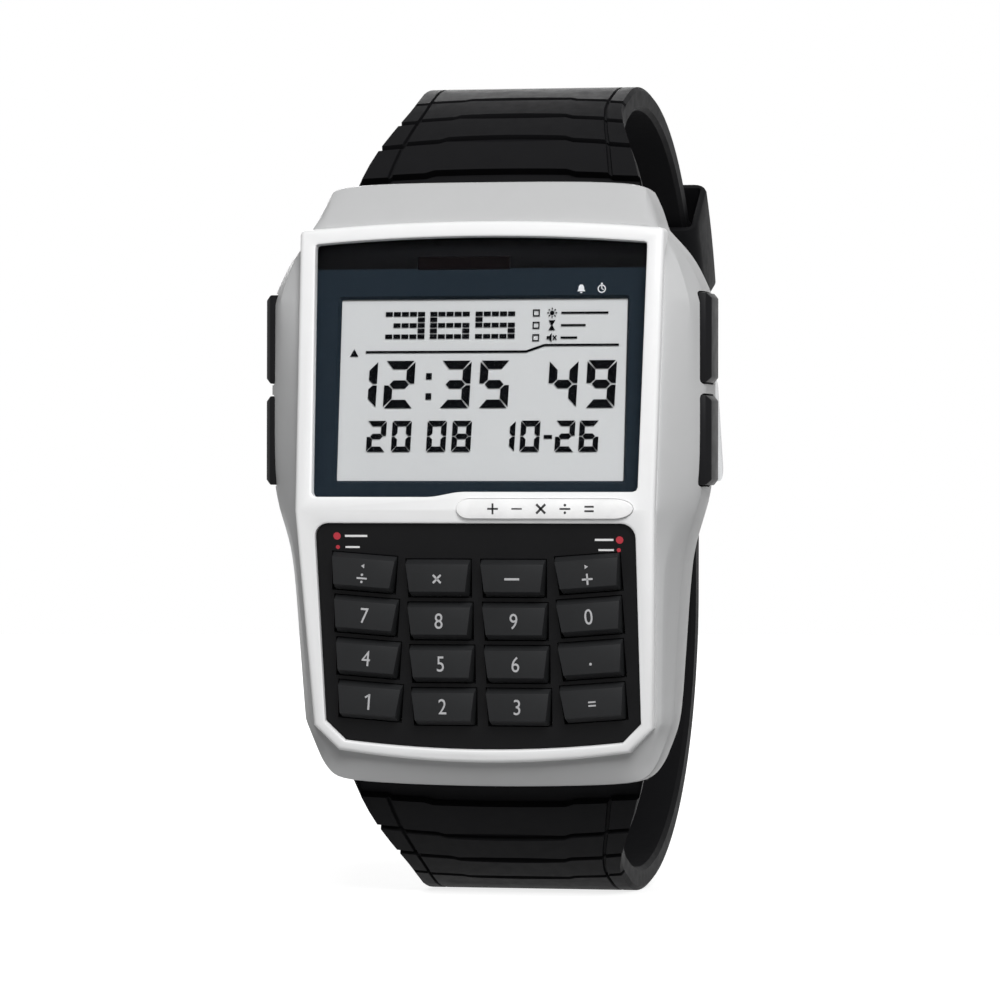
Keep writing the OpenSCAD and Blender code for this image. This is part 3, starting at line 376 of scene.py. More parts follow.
def disc(r, steps=24, x=0.0, z=0.0):
    """Clockwise circle."""
    angles = [-2 * math.pi * i / steps for i in range(steps)]
    return [(x + r * math.cos(a), z + r * math.sin(a)) for a in angles]


def bowed(half, z, rise, steps=8):
    """Edge across the middle, from left to right, or from right to left where half is negative."""
    return [(half * i / steps, z - rise * (i / steps) ** 2) for i in range(-steps, steps + 1)]


def evaluated(bm, setup):
    """The mesh after modifiers that setup adds to a passing object."""
    mesh = bpy.data.meshes.new("passing")
    bm.to_mesh(mesh)
    bm.free()
    obj = bpy.data.objects.new("passing", mesh)
    bpy.context.scene.collection.objects.link(obj)
    extra = setup(obj)
    graph = bpy.context.evaluated_depsgraph_get()
    result = bmesh.new()
    shown = obj.evaluated_get(graph)
    result.from_mesh(shown.to_mesh())
    shown.to_mesh_clear()
    for o in [obj] + extra:
        data = o.data
        bpy.data.objects.remove(o)
        bpy.data.meshes.remove(data)
    return result


def carved(bm, cutters, operation="DIFFERENCE"):
    """Cuts bodies out of a body one after another, or joins them with it."""
    def setup(obj):
        mesh = bpy.data.meshes.new("cutter")
        cutter.to_mesh(mesh)
        cutter.free()
        tool = bpy.data.objects.new("cutter", mesh)
        bpy.context.scene.collection.objects.link(tool)
        modifier = obj.modifiers.new("cut", "BOOLEAN")
        modifier.operation = operation
        modifier.solver = "EXACT"
        modifier.object = tool
        return [tool]

    for cutter in cutters:
        bmesh.ops.recalc_face_normals(bm, faces=bm.faces)
        bmesh.ops.recalc_face_normals(cutter, faces=cutter.faces)
        bm = evaluated(bm, setup)
        bmesh.ops.remove_doubles(bm, verts=bm.verts, dist=1e-3)
        bmesh.ops.dissolve_degenerate(bm, dist=1e-3, edges=bm.edges)
    return bm


def finish_piece(name, bm, body, materials, replaces=(), smooth=28):
    """Turns a shape in millimetres into a piece that rides on a body."""
    if not bm.faces:
        raise RuntimeError("no faces left in " + name)
    bmesh.ops.remove_doubles(bm, verts=bm.verts, dist=1e-5)
    bmesh.ops.recalc_face_normals(bm, faces=bm.faces)
    limit = math.radians(smooth)
    for edge in bm.edges:
        edge.smooth = len(edge.link_faces) == 2 and edge.calc_face_angle(0) < limit
    for face in bm.faces:
        face.smooth = True
    bmesh.ops.scale(bm, vec=(MM, MM, MM), verts=bm.verts)
    mesh = bpy.data.meshes.new(name)
    bm.to_mesh(mesh)
    bm.free()
    for material in materials:
        mesh.materials.append(FINISHES[material])
    piece = bpy.data.objects.new(name, mesh)
    bpy.context.scene.collection.objects.link(piece)
    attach(piece, body)
    if replaces:
        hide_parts(*replaces)


def merge(bm, part, material=0):
    """Adds another shape to this one, with all its faces in one material."""
    for face in part.faces:
        face.material_index = material
    mesh = bpy.data.meshes.new("part")
    part.to_mesh(mesh)
    part.free()
    bm.from_mesh(mesh)
    bpy.data.meshes.remove(mesh)


def merge_placed(bm, part, place, material=0):
    """The same, after the other shape is brought to its place."""
    bmesh.ops.transform(part, matrix=place, verts=part.verts)
    bmesh.ops.recalc_face_normals(part, faces=part.faces)
    merge(bm, part, material)


def add_shapes(bm, shapes, front, back, place, material=0):
    """Adds thin solids from outlines."""
    part = bmesh.new()
    for outline in shapes:
        plate(part, outline, front, back)
    merge_placed(bm, part, place, material)


def add_text(bm, text, height, thick, bend, place, material):
    """Adds printed figures, centred on a place, as thin solids bent to a surface."""
    curve = bpy.data.curves.new("figures", "FONT")
    curve.body = text
    # A figure stands 0.72 of the type's size
    curve.size = height / 0.72
    curve.align_x = "CENTER"
    curve.align_y = "CENTER"
    curve.resolution_u = 4
    obj = bpy.data.objects.new("figures", curve)
    bpy.context.scene.collection.objects.link(obj)
    graph = bpy.context.evaluated_depsgraph_get()
    mesh = bpy.data.meshes.new_from_object(obj.evaluated_get(graph))
    part = bmesh.new()
    part.from_mesh(mesh)
    bpy.data.objects.remove(obj)
    bpy.data.curves.remove(curve)
    bpy.data.meshes.remove(mesh)
    bmesh.ops.remove_doubles(part, verts=part.verts, dist=1e-4)
    made = bmesh.ops.extrude_face_region(part, geom=list(part.faces))["geom"]
    bmesh.ops.translate(part, vec=(0, 0, thick), verts=verts_of(made))
    bmesh.ops.transform(part, matrix=Matrix.Rotation(math.pi / 2, 4, "X"), verts=part.verts)
    for v in part.verts:
        v.co.y += bend(v.co.z)
    merge_placed(bm, part, place, material)


# Finishes

def combined(tree, operation, first, second):
    """A Math node's result from two outputs."""
    maths = tree.nodes.new("ShaderNodeMath")
    maths.operation = operation
    tree.links.new(first, maths.inputs[0])
    tree.links.new(second, maths.inputs[1])
    return maths.outputs["Value"]


def seen_rays(tree):
    """1 where the camera, metal or glass looks at a surface, and 0 for its light on other things."""
    rays = tree.nodes.new("ShaderNodeLightPath").outputs
    seen = combined(tree, "MAXIMUM", rays["Is Camera Ray"], rays["Is Glossy Ray"])
    return combined(tree, "MAXIMUM", seen, rays["Is Transmission Ray"])


class Finish:
    """Builds a node material round a Principled shader."""

    def __init__(self, name, colour, roughness, metallic=0.0, **sockets):
        self.material = bpy.data.materials.new(name)
        self.material.use_nodes = True
        self.tree = self.material.node_tree
        self.shader = self.tree.nodes["Principled BSDF"]
        self.colour = colour
        self.shader.inputs["Base Color"].default_value = (*colour, 1)
        self.shader.inputs["Roughness"].default_value = roughness
        self.shader.inputs["Metallic"].default_value = metallic
        for key, value in sockets.items():
            self.shader.inputs[key.replace("_", " ")].default_value = value
        self.place = self.node("ShaderNodeTexCoord").outputs["Object"]

    def node(self, kind, **inputs):
        made = self.tree.nodes.new(kind)
        for key, value in inputs.items():
            made.inputs[key.replace("_", " ")].default_value = value
        return made

    def link(self, output, target):
        self.tree.links.new(output, target)

    def millimetres(self, stretch=(1, 1, 1)):
        """Object coordinates in millimetres, stretched."""
        mapping = self.node("ShaderNodeMapping", Scale=tuple(s / MM for s in stretch))
        self.link(self.place, mapping.inputs["Vector"])
        return mapping.outputs["Vector"]

    def noise(self, scale, detail=3.0, stretch=(1, 1, 1)):
        """Noise with so many features in a millimetre."""
        noise = self.node("ShaderNodeTexNoise", Scale=scale, Detail=detail, Roughness=0.6)
        self.link(self.millimetres(stretch), noise.inputs["Vector"])
        return noise.outputs["Fac"]

    def between(self, factor, low, high):
        """Brings noise to values between low and high."""
        ramp = self.node("ShaderNodeMapRange", From_Min=0.3, From_Max=0.7, To_Min=low, To_Max=high)
        self.link(factor, ramp.inputs["Value"])
        return ramp.outputs["Result"]

    def vary_colour(self, factor, low, high):
        mix = self.node("ShaderNodeVectorMath")
        mix.operation = "SCALE"
        mix.inputs[0].default_value = self.colour
        self.link(self.between(factor, low, high), mix.inputs["Scale"])
        self.link(mix.outputs["Vector"], self.shader.inputs["Base Color"])

    def vary_roughness(self, factor, low, high):
        self.link(self.between(factor, low, high), self.shader.inputs["Roughness"])

    def ramp_colour(self, factor, stops, interpolation="LINEAR"):
        """Colours by a ramp of (position, colour) stops."""
        ramp = self.node("ShaderNodeValToRGB")
        ramp.color_ramp.interpolation = interpolation
        elements = ramp.color_ramp.elements
        while len(elements) < len(stops):
            elements.new(1.0)
        for element, (position, colour) in zip(elements, stops):
            element.position, element.color = position, (*colour, 1)
        self.link(factor, ramp.inputs["Fac"])
        self.link(ramp.outputs["Color"], self.shader.inputs["Base Color"])

    def bump(self, factor, height):
        """Relief of so many millimetres."""
        bump = self.node("ShaderNodeBump", Strength=1.0, Distance=height * MM)
        self.link(factor, bump.inputs["Height"])
        self.link(bump.outputs["Normal"], self.shader.inputs["Normal"])


def moulded(name, colour, roughness, grain=4.0, relief=0.004, metallic=0.0, spread=0.06, cloud=0.07,
            **sockets):
    """Moulded plastic or rubber: fine grain, slight clouding of colour and gloss."""
    made = Finish(name, colour, roughness, metallic, **sockets)
    made.vary_colour(made.noise(0.35, 4), 1 - cloud, 1 + cloud)
    made.vary_roughness(made.noise(0.9, 5), roughness - spread, roughness + spread)
    made.bump(made.noise(grain, 2), relief)
    return made.material


def printed(name, colour, roughness=0.5, **sockets):
    """Printed ink: the same with hardly any relief."""
    return moulded(name, colour, roughness, grain=6.0, relief=0.0005, **sockets)


def brushed(name, colour, roughness, stretch=(0.15, 6, 6)):
    """Metal with fine lines along one direction."""
    made = Finish(name, colour, roughness, 1.0)
    lines = made.noise(1.0, 4, stretch)
    made.vary_roughness(lines, roughness - 0.07, roughness + 0.09)
    made.vary_colour(made.noise(0.3, 3), 0.94, 1.05)
    made.bump(lines, 0.0012)
    return made.material


def striped(name, colour, second, roughness, scale):
    """Two colours in fine stripes, as on contact rubber or a printed film."""
    made = Finish(name, colour, roughness)
    wave = made.node("ShaderNodeTexWave", Scale=scale, Distortion=0.0)
    wave.bands_direction = "X"
    made.link(made.millimetres(), wave.inputs["Vector"])
    made.ramp_colour(wave.outputs["Fac"], ((0.45, colour), (0.55, second)))
    made.bump(wave.outputs["Fac"], 0.004)
    return made.material


def board_finish(name):
    """Green board with copper tracks under its lacquer."""
    made = Finish(name, (0.01, 0.09, 0.035), 0.35)
    cells = made.node("ShaderNodeTexVoronoi", Scale=1.0)
    cells.distance = "CHEBYCHEV"
    made.link(made.millimetres((0.9, 0.9, 0.9)), cells.inputs["Vector"])
    made.ramp_colour(cells.outputs["Distance"], ((0.0, (0.02, 0.16, 0.06)), (0.32, (0.01, 0.08, 0.035))),
                     "CONSTANT")
    made.bump(cells.outputs["Distance"], 0.01)
    return made.material


def glass_finish(name):
    """Clear glass that lets lamp light through."""
    made = Finish(name, (0.98, 0.99, 1.0), 0.0, Transmission_Weight=1.0, IOR=1.07)
    made.vary_roughness(made.noise(0.5, 2), 0.0, 0.015)
    rays = made.node("ShaderNodeLightPath").outputs
    clear = made.node("ShaderNodeBsdfTransparent", Color=(0.97, 0.98, 0.99, 1))
    mix = made.node("ShaderNodeMixShader")
    made.link(combined(made.tree, "MAXIMUM", rays["Is Shadow Ray"], rays["Is Diffuse Ray"]), mix.inputs[0])
    made.link(made.shader.outputs["BSDF"], mix.inputs[1])
    made.link(clear.outputs["BSDF"], mix.inputs[2])
    made.link(mix.outputs["Shader"], made.tree.nodes["Material Output"].inputs["Surface"])
    return made.material


def mask_finish(name, mask, band, border):
    """Surround in one colour, with a band of another above a height, and a painted reflection: a soft lighter
    stripe in the band's middle.
    """
    made = Finish(name, mask, 0.38, Specular_IOR_Level=0.03)
    split = made.node("ShaderNodeSeparateXYZ")
    made.link(made.millimetres(), split.inputs["Vector"])
    height = made.node("ShaderNodeMapRange", From_Min=border - 2, From_Max=border + 3)
    made.link(split.outputs["Z"], height.inputs["Value"])
    # The lighter stripe in the band is a painted reflection of the lamp in the glass
    light = tuple(7 * c for c in band)
    made.ramp_colour(height.outputs["Result"], ((0.0, mask), (0.395, mask), (0.405, band), (0.52, band),
                                                (0.8, light), (0.93, band)))
    made.bump(made.noise(3.0, 2), 0.0015)
    return made.material


def lcd_finish(name, colour):
    """Unlit display: pale grey, slightly cloudy, with a very fine grain."""
    made = Finish(name, colour, 0.42, Specular_IOR_Level=0.2)
    made.vary_colour(made.noise(0.08, 2), 0.985, 1.012)
    made.vary_roughness(made.noise(0.6, 3), 0.38, 0.48)
    made.bump(made.noise(8.0, 1), 0.001)
    return made.material


# Materials by slot
FINISHES = {}


def make_finishes(m):
    """Fills FINISHES: the record's slots, the bezel's silver lightened as a painted highlight, and the
    printed inks.
    """
    s = bpy.context.scene
    case, display, pad, strap = s.watch_case, s.watch_display, s.watch_keypad, s.watch_strap
    FINISHES.update({
        # The case's silver is darkened as painted shade; the bezel's, next, is lightened as a painted
        # highlight
        "silver_case": moulded("satin_silver_painted_shade", case.silver, 0.38, grain=7.0, relief=0.0008, spread=0.03,
                               cloud=0.012, Specular_IOR_Level=0.12),
        "bright_bezel": moulded("bright_silver", case.bright, 0.34, grain=7.0, relief=0.0006, metallic=0.05,
                                spread=0.03, cloud=0.01, Specular_IOR_Level=0.25),
        "white_label": moulded("label_white", display.label, 0.4, grain=5.0, relief=0.001),
        "window_glass": glass_finish("window_glass"),
        "dark_surround": mask_finish("printed_mask", display.mask, display.band,
                                     m.ridge_z + BAND_FOOT * math.cos(m.dt)),
        "dark_red": moulded("sensor_red", (0.0012, 0.0004, 0.0006), 0.3, relief=0.001, spread=0.03,
                            Specular_IOR_Level=0.03),
        "lcd": lcd_finish("display_grey", display.lcd),
        "lcd_ink": printed("display_ink", display.ink, 0.6, Specular_IOR_Level=0.02),
        "clear_guide": moulded("light_guide", (0.75, 0.75, 0.68), 0.2, grain=3.0, relief=0.002, spread=0.05,
                               Transmission_Weight=0.3),
        "contact_rubber": striped("contact_rubber", (0.25, 0.06, 0.1), (0.02, 0.02, 0.02), 0.6, 6.0),
        "white_plastic": moulded("frame_plastic", (0.66, 0.66, 0.62), 0.5),
        "green_board": board_finish("circuit_board"),
        "steel": brushed("brushed_steel", (0.56, 0.57, 0.58), 0.3),
        "black_plastic": moulded("plate_black", pad.plate, 0.45, grain=6.0, relief=0.003, spread=0.05,
                                 Specular_IOR_Level=0.08),
        "key_plastic": moulded("key_black", pad.key, 0.46, grain=7.0, spread=0.05, Specular_IOR_Level=0.12),
        "pusher_plastic": moulded("pusher_black", (0.009, 0.009, 0.01), 0.42, grain=7.0, relief=0.002,
                                  spread=0.05, Specular_IOR_Level=0.07),
        "grey_rubber": moulded("membrane_grey", (0.45, 0.45, 0.41), 0.6),
        "amber_film": striped("ribbon_film", (0.42, 0.17, 0.03), (0.55, 0.3, 0.1), 0.3, 2.2),
        "brass": brushed("brass", (0.6, 0.42, 0.16), 0.28, (1, 1, 1)),
        "black_rubber": moulded("strap_rubber", strap.rubber, 0.56, grain=9.0, spread=0.05,
                                Specular_IOR_Level=0.05),
        "legend": printed("printed_grey", pad.legend),
        "white_print": printed("printed_white", (0.75, 0.75, 0.75)),
        "black_print": printed("printed_black", (0.012, 0.012, 0.013), 0.45),
        "dot": printed("printed_red", pad.dot),
    })


# Case

# How sharp the case's rings and rows stay under subdivision; the crest ring follows the two crests
RING_CREASE = {0: 1.0, 1: 1.0, 2: 0.8, 3: 0.8, 6: 0.75, 7: 0.6, 9: 0.3, 10: 0.3, 11: 0.7, 12: 1.0}
ROW_CREASE = {4: 0.85, 6: 0.85, 10: 0.6, 13: 0.6, 18: 0.85, 20: 0.85}
CREST_RING = 5
# Share of the case's outline at which its inner cavity starts
CAVITY = 0.758


def bezel_half(m, z):
    """Half width of the bezel at a height."""
    if z > m.ridge_z:
        return m.bezel_x + (m.head_x - m.bezel_x) * (z - m.ridge_z) / (m.head_l - 1.3)
    return m.bezel_x - (m.bezel_x - m.foot_x) * (m.ridge_z - z) / (m.foot_l - 3.5)


def rim_table(m):
    """Rows from the top to the bottom of the right side: outer z, outer x, shoulder z, shoulder x."""
    top, foot = m.bezel_top - 0.02, m.bezel_foot + 0.02
    close = 0.06
    et, ef, hx, hw, hd, fx, wx = m.end_top, m.end_foot, m.hood_x, m.hw, m.head_x, m.foot_x, m.waist_x

    def beside(z, sz, x):
        """A row whose shoulder starts at the bezel's side."""
        return z, x, sz, bezel_half(m, sz) - close

    return [
        # Upper hood
        (et, 0, top, 0),
        (et, 5, top - 0.1, 6),
        (et - 0.05, 10, top - 0.35, 11.5),
        (et - 0.3, hx - 1.8, top - 0.56, hd - 3.0),
        (et - 0.8, hx - 0.9, top - 0.62, hd - 2.0),
        (et - 2.5, hx - 0.05, top - 0.8, hd - 0.8),
        (et - 4.45, hx + 0.5, top - 2.05, hd - close),
        # Facet out to the full width
        beside(et - 6.8, top - 3.6, hw - 2.35),
        beside(et - 8.3, top - 5, hw - 1.5),
        beside(et - 9.9, top - 6.5, hw - 0.7),
        beside(et - 11.6, top - 8, hw - 0.05),
        beside(9.5, 9, hw),
        beside(0.8, 0.5, hw - 0.1),
        # Waist
        beside(-2.1, m.ridge_z, hw - 0.85),
        beside(-4.5, -4.6, (hw + wx) / 2 - 0.1),
        beside(-7, -7, wx + 0.85),
        beside(-12.2, -12.2, wx + 0.45),
        beside(-17.3, -17.3, wx + 0.15),
        beside(-22.5, foot + 3.8, wx - 0.2),
        # Lower hood
        (ef + 4.5, wx - 0.9, foot + 2.5, fx - 1.25),
        (ef + 2.6, hx + 0.3, foot + 1.5, fx - 2.25),
        (ef + 1.2, hx - 0.5, foot + 0.85, 12),
        (ef + 0.4, hx - 1.8, foot + 0.36, 8.5),
        (ef + 0.1, 7, foot + 0.1, 4.5),
        (ef, 0, foot, 0),
    ]


def belt_depth(m, z):
    """Depth at which the case is widest, deeper towards its ends."""
    return 5.9 + (0.7 if z > 0 else 1.4) * (z / m.end_z) ** 2


def crest(z):
    """How far the crest on the case's lower sides has formed at a height."""
    return ease((-1.5 - z) / 6) * ease((z + 27.5) / 4)


def upper_crest(z):
    """How far the crest beside the display's upper corners has formed at a height."""
    return ease((z - 11) / 6) * ease((26 - z) / 3)


def case_section(m, row):
    """Points of one row of the case, from the bezel's pocket out over the belt and in to the cavity."""
    oz, ox, sz, sx = row
    ds = face_depth(m, sz) + 1.0
    db = belt_depth(m, oz)
    back = m.case_thickness - 0.85
    inner = (ox * CAVITY, oz * CAVITY)
    wall = face_depth(m, sz) + m.case_bezel_wall + 0.05

    def point(share, depth):
        """A point between the shoulder and the belt."""
        return (sx + (ox - sx) * share, m.front_y + depth, sz + (oz - sz) * share)

    def outer(by, depth, shrink=1.0):
        """A point below the belt."""
        return (max(0.0, ox - by) * shrink, m.front_y + depth, oz * shrink)

    # On the lower sides the shoulder is a narrow strip with a crest, and a steep band beyond it
    low, high = crest(oz), upper_crest(oz)
    return [
        (inner[0], m.front_y + wall + 0.6, inner[1]),
        (sx, m.front_y + wall, sz),
        point(0.0, ds + 0.06),
        point(0.035, ds),
        point(0.3 - 0.08 * low, ds + (db - ds) * (0.24 - 0.18 * low - 0.12 * high)),
        point(0.72 - 0.3 * low - 0.06 * high, ds + (db - ds) * (0.66 - 0.5 * low - 0.36 * high)),
        point(0.985, db - 0.1),
        outer(0.0, db + 0.25),
        outer(-0.05, db + 1.6),
        outer(0.0, back - 2.2, 0.998),
        outer(0.05, back - 0.5, 0.995),
        outer(0.1, back, 0.985),
        (inner[0], m.front_y + back, inner[1]),
    ]


def crease_case(bm, rings, rows):
    """Gives each edge of the case the sharpness of its ring or row."""
    layer = bm.edges.layers.float.new("crease_edge")
    spots = {}
    for k, points in enumerate(rings):
        for i, p in enumerate(points):
            spots[tuple(round(c, 3) for c in p)] = (k, i)
    for edge in bm.edges:
        ends = [spots.get(tuple(round(c, 3) for c in v.co)) for v in edge.verts]
        if None in ends:
            continue
        ring, i = ends[0]
        if ring != ends[1][0]:
            edge[layer] = ROW_CREASE.get(i if i < rows else len(rings[0]) - i, 0)
        elif ring == CREST_RING:
            z = edge.verts[0].co.z
            edge[layer] = 0.9 * max(crest(z), upper_crest(z))
        else:
            edge[layer] = RING_CREASE.get(ring, 0)


def case_cutters(m):
    """Pockets and bores for the pushers, and the slots that take the strap's ends."""
    cutters = []
    play = 0.15
    for side in SIDES:
        pocket = bmesh.new()
        block(pocket, (m.pocket_x, -m.pusher_t / 2 - play, -m.pusher_l / 2 - play),
              (m.pocket_x + 8, m.pusher_t / 2 + play, m.pusher_l / 2 + play))
        soften(pocket, edges_along(pocket, 0), 0.45, 3)
        holes = [pocket]
        for radius, deep in ((1.75, 3.9), (1.05, 8)):
            stem = bmesh.new()
            rod(stem, radius, (m.hw - deep, 0, 0), (m.hw, 0, 0))
            holes.append(stem)
        for hole in holes:
            bmesh.ops.transform(hole, matrix=at_pusher(m, side), verts=hole.verts)
        cutters += holes
    clear = 2.3
    for end in (-1, 1):
        slot = bmesh.new()
        low, high = sorted((end * (m.bar_z - clear), end * (m.end_z + 3)))
        block(slot, (-m.slot_x, m.front_y + m.strap_bar_depth - clear, low),
              (m.slot_x, m.front_y + 20, high))
        soften(slot, edges_along(slot, 2), 0.3, 2)
        cutters.append(slot)
    return cutters


def build_case(m):
    """Ring-shaped shell from the rim table and its mirror image, subdivided and then cut."""
    rows = [case_section(m, row) for row in rim_table(m)]
    rings = []
    for k in range(len(rows[0])):
        right = [row[k] for row in rows]
        rings.append(right + [(-x, y, z) for x, y, z in reversed(right[1:-1])])
    bm = bmesh.new()
    skin(bm, rings, closed=True)
    crease_case(bm, rings, len(rows))

    def subdivide(obj):
        modifier = obj.modifiers.new("round", "SUBSURF")
        modifier.levels = modifier.render_levels = 2
        return []

    bmesh.ops.recalc_face_normals(bm, faces=bm.faces)
    return carved(evaluated(bm, subdivide), case_cutters(m))


# Bezel

def bezel_outline(m):
    head, foot, bow = m.head_x, m.foot_x, m.display_bow
    right_foot = m.bezel_foot + 2.4 + bow
    turns = [math.radians(a) for a in (22.5, 45, 67.5)]
    corner = [(0.5 - 0.5 * math.sin(a), 0.5 - 0.5 * math.cos(a)) for a in turns]
    top = m.bezel_top - bow * 0.7
    return (bowed(head - 0.5, m.bezel_top, bow * 0.7)
            + [(head - a, top - b) for a, b in corner]
            + [(head, top - 0.5), (m.bezel_x, m.ridge_z), (foot, right_foot)]
            + bowed(-(foot - 2.4), m.bezel_foot, -bow)
            + [(-foot, right_foot), (-m.bezel_x, m.ridge_z), (-head, top - 0.5)]
            + [(-head + a, top - b) for a, b in reversed(corner)])


def window_outline(m, by=0.0):
    """The window's outline, moved outwards by so much."""
    x, top, foot = m.window_x + by, m.window_top + 0.06 + by, m.window_foot - by
    fx, bow, step = x - 0.35, m.display_bow * 0.6, 0.5
    wave = [(-1 - 3.6 * i / 6, foot - step * ease(i / 6)) for i in range(7)]
    return (bowed(x - 0.3, top, bow)
            + [(x - 0.06, top - bow - 0.12), (x, top - bow - 0.4),
               (fx, foot + 0.45), (fx - 0.15, foot + 0.13), (fx - 0.5, foot)]
            + wave
            + [(-fx + 0.5, foot - step), (-fx + 0.15, foot - step + 0.13), (-fx, foot - step + 0.45),
               (-x, top - bow - 0.4), (-x + 0.06, top - bow - 0.12)])


def pad_outline(m, by=0.0):
    """The keypad's outline, moved outwards by so much: round upper corners, cut lower ones."""
    x, top, foot, r, cut = m.pad_x + by, m.pad_top + by, m.pad_foot - by, 1.4, 1.9
    bow = m.display_bow * 0.75
    left, right = ([math.radians(a) for a in turns] for turns in (range(180, 89, -15), range(90, -1, -15)))
    return ([(-x + r * (1 + math.cos(a)), top - r * (1 - math.sin(a))) for a in left]
            + [(x - r * (1 - math.cos(a)), top - r * (1 - math.sin(a))) for a in right]
            + [(x - 0.15, foot + cut + bow)] + bowed(-(x - 0.15 - cut), foot, -bow)
            + [(-x + 0.15, foot + cut + bow)])


def opening_cutter(m, outline, place):
    """Cutter for an opening: rounded at the front, wider behind the rim to take the pane's flange."""
    cut = bmesh.new()
    steps = ((-2.5, 0.2), (0.0, 0.2), (0.02, 0.11), (0.08, 0.03), (0.2, 0.0), (m.case_rim, 0.0),
             (m.case_rim, FLANGE), (3.4, FLANGE))
    skin(cut, [level(outline(m, by), depth) for depth, by in steps])
    bmesh.ops.transform(cut, matrix=place, verts=cut.verts)
    return cut


def badge_outline(extra=0.0):
    """The badge's outline: a long round right end and a blunt left one."""
    w, h = 17.2, 1.9
    points = []
    for x, reach, start in ((w / 2 - h, h, 90), (-w / 2 + 1.3, 1.3, -90)):
        for a in range(start, start - 181, -15):
            points.append((x + reach * math.cos(math.radians(a)), h / 2 * math.sin(math.radians(a))))
    return grown(points, extra) if extra else points


def build_bezel(m):
    """Two leaning faces that meet at the ridge, with both openings and the badge's bed cut in."""
    bm = bmesh.new()
    face = bm.faces.new([bm.verts.new((x, 0, z)) for x, z in bezel_outline(m)])
    bmesh.ops.bisect_plane(bm, geom=list(bm.verts) + list(bm.edges) + [face], dist=1e-4,
                           plane_co=(0, 0, m.ridge_z), plane_no=(0, 0, 1))
    for v in bm.verts:
        v.co.y = m.front_y + face_depth(m, v.co.z)
    rim = [e for e in bm.edges if len(e.link_faces) == 1]
    made = bmesh.ops.extrude_face_region(bm, geom=list(bm.faces))["geom"]
    bmesh.ops.translate(bm, vec=(0, m.case_bezel_wall, 0), verts=verts_of(made))
    bmesh.ops.recalc_face_normals(bm, faces=bm.faces)
    soften(bm, rim, 0.4, 3)
    badge = bmesh.new()
    plate(badge, badge_outline(0.05), -3, 0.3, at_badge(m))
    return carved(bm, [opening_cutter(m, window_outline, on_display(m)),
                       opening_cutter(m, pad_outline, on_keypad(m)), badge])


# Window and display

def build_glass(m):
    """Pane with a bevelled front edge and a flange behind the bezel's rim."""
    bm = bmesh.new()
    at_rim = m.case_rim + 0.05
    steps = ((0.36, -0.62), (0.38, -0.5), (0.62, -0.1), (0.7, -0.06), (at_rim, -0.06), (at_rim, 0.6),
             (at_rim + 0.85, 0.6))
    skin(bm, [level(window_outline(m, by), depth) for depth, by in steps])
    bmesh.ops.transform(bm, matrix=on_display(m), verts=bm.verts)
    return bm


def build_mask(m):
    """Surround with a bevelled opening for the display and a shallow bed for the dark bar."""
    bm = bmesh.new()
    plate(bm, window_outline(m, 0.15), 2.1, 2.6)
    bmesh.ops.transform(bm, matrix=on_display(m), verts=bm.verts)
    opening = rounded(m.lcd_w, m.display_lcd_h, 0.12, 2)
    cut = bmesh.new()
    steps = ((0.5, 0.28), (2.09, 0.28), (2.45, 0.0), (4.0, 0.0))
    skin(cut, [level(grown(opening, by), depth) for depth, by in steps])
    bmesh.ops.transform(cut, matrix=on_display(m, 0, m.lcd_mid), verts=cut.verts)
    bed = bmesh.new()
    plate(bed, rounded(9.1, 1.3, 0.05, 1), 1.0, 2.35, on_display(m, SENSOR_X, m.window_top - SENSOR_DROP))
    return carved(bm, [cut, bed])


# Outlines of figures, signs and icons, all clockwise

LIT_SEGMENTS = ("abcdef", "bc", "abged", "abgcd", "fgbc", "afgcd", "afgedc", "abc", "abcdefg", "abcdfg")
SLANT = 0.035


def segments(n, w, h, t, gap):
    """Outlines of a digit's mitred segments, from its lower left corner."""
    m, k = h / 2, t / 2
    near, far = gap * 0.4, gap * 0.7
    shapes = {
        "a": [(gap, h), (w - gap, h), (w - t, h - t), (t, h - t)],
        "b": [(w, h - gap), (w, m + far), (w - k, m + far), (w - t, m + k + near), (w - t, h - t - gap)],
        "c": [(w - t, m - k - near), (w - k, m - far), (w, m - far), (w, gap), (w - t, t + gap)],
        "d": [(t, t), (w - t, t), (w - gap, 0), (gap, 0)],
        "e": [(0, gap), (0, m - far), (k, m - far), (t, m - k - near), (t, t + gap)],
        "f": [(0, m + far), (0, h - gap), (t, h - t - gap), (t, m + k + near), (k, m + far)],
        "g": [(k + gap, m), (t + gap * 0.8, m + k), (w - t - gap * 0.8, m + k), (w - k - gap, m),
              (w - t - gap * 0.8, m - k), (t + gap * 0.8, m - k)],
    }
    return [[(x + SLANT * z, z) for x, z in shapes[c]] for c in LIT_SEGMENTS[n]]


# Cells of the figures in the display's upper row
CELLS = {
    "3": ("11111", "00001", "01111", "00001", "11111"),
    "6": ("11111", "10000", "11111", "10001", "11111"),
    "5": ("11111", "10000", "11111", "00001", "11111"),
}


def moved(shapes, x, z, size=1.0):
    return [[(x + size * px, z + size * pz) for px, pz in shape] for shape in shapes]


def box(x0, z0, x1, z1):
    return [(x0, z1), (x1, z1), (x1, z0), (x0, z0)]


def frame_of(w, h, t):
    """Four strips of a hollow rectangle about the origin."""
    return [box(-w / 2, h / 2 - t, w / 2, h / 2), box(-w / 2, -h / 2, w / 2, -h / 2 + t),
            box(-w / 2, -h / 2 + t, -w / 2 + t, h / 2 - t), box(w / 2 - t, -h / 2 + t, w / 2, h / 2 - t)]


def ring_strip(r, t, steps):
    """Quads of a ring about the origin."""
    turns = [math.radians(a) for a in spaced(0, 360, steps)]
    return [[(r * math.cos(b), r * math.sin(b)), (r * math.cos(a), r * math.sin(a)),
             ((r - t) * math.cos(a), (r - t) * math.sin(a)), ((r - t) * math.cos(b), (r - t) * math.sin(b))]
            for a, b in zip(turns, turns[1:])]


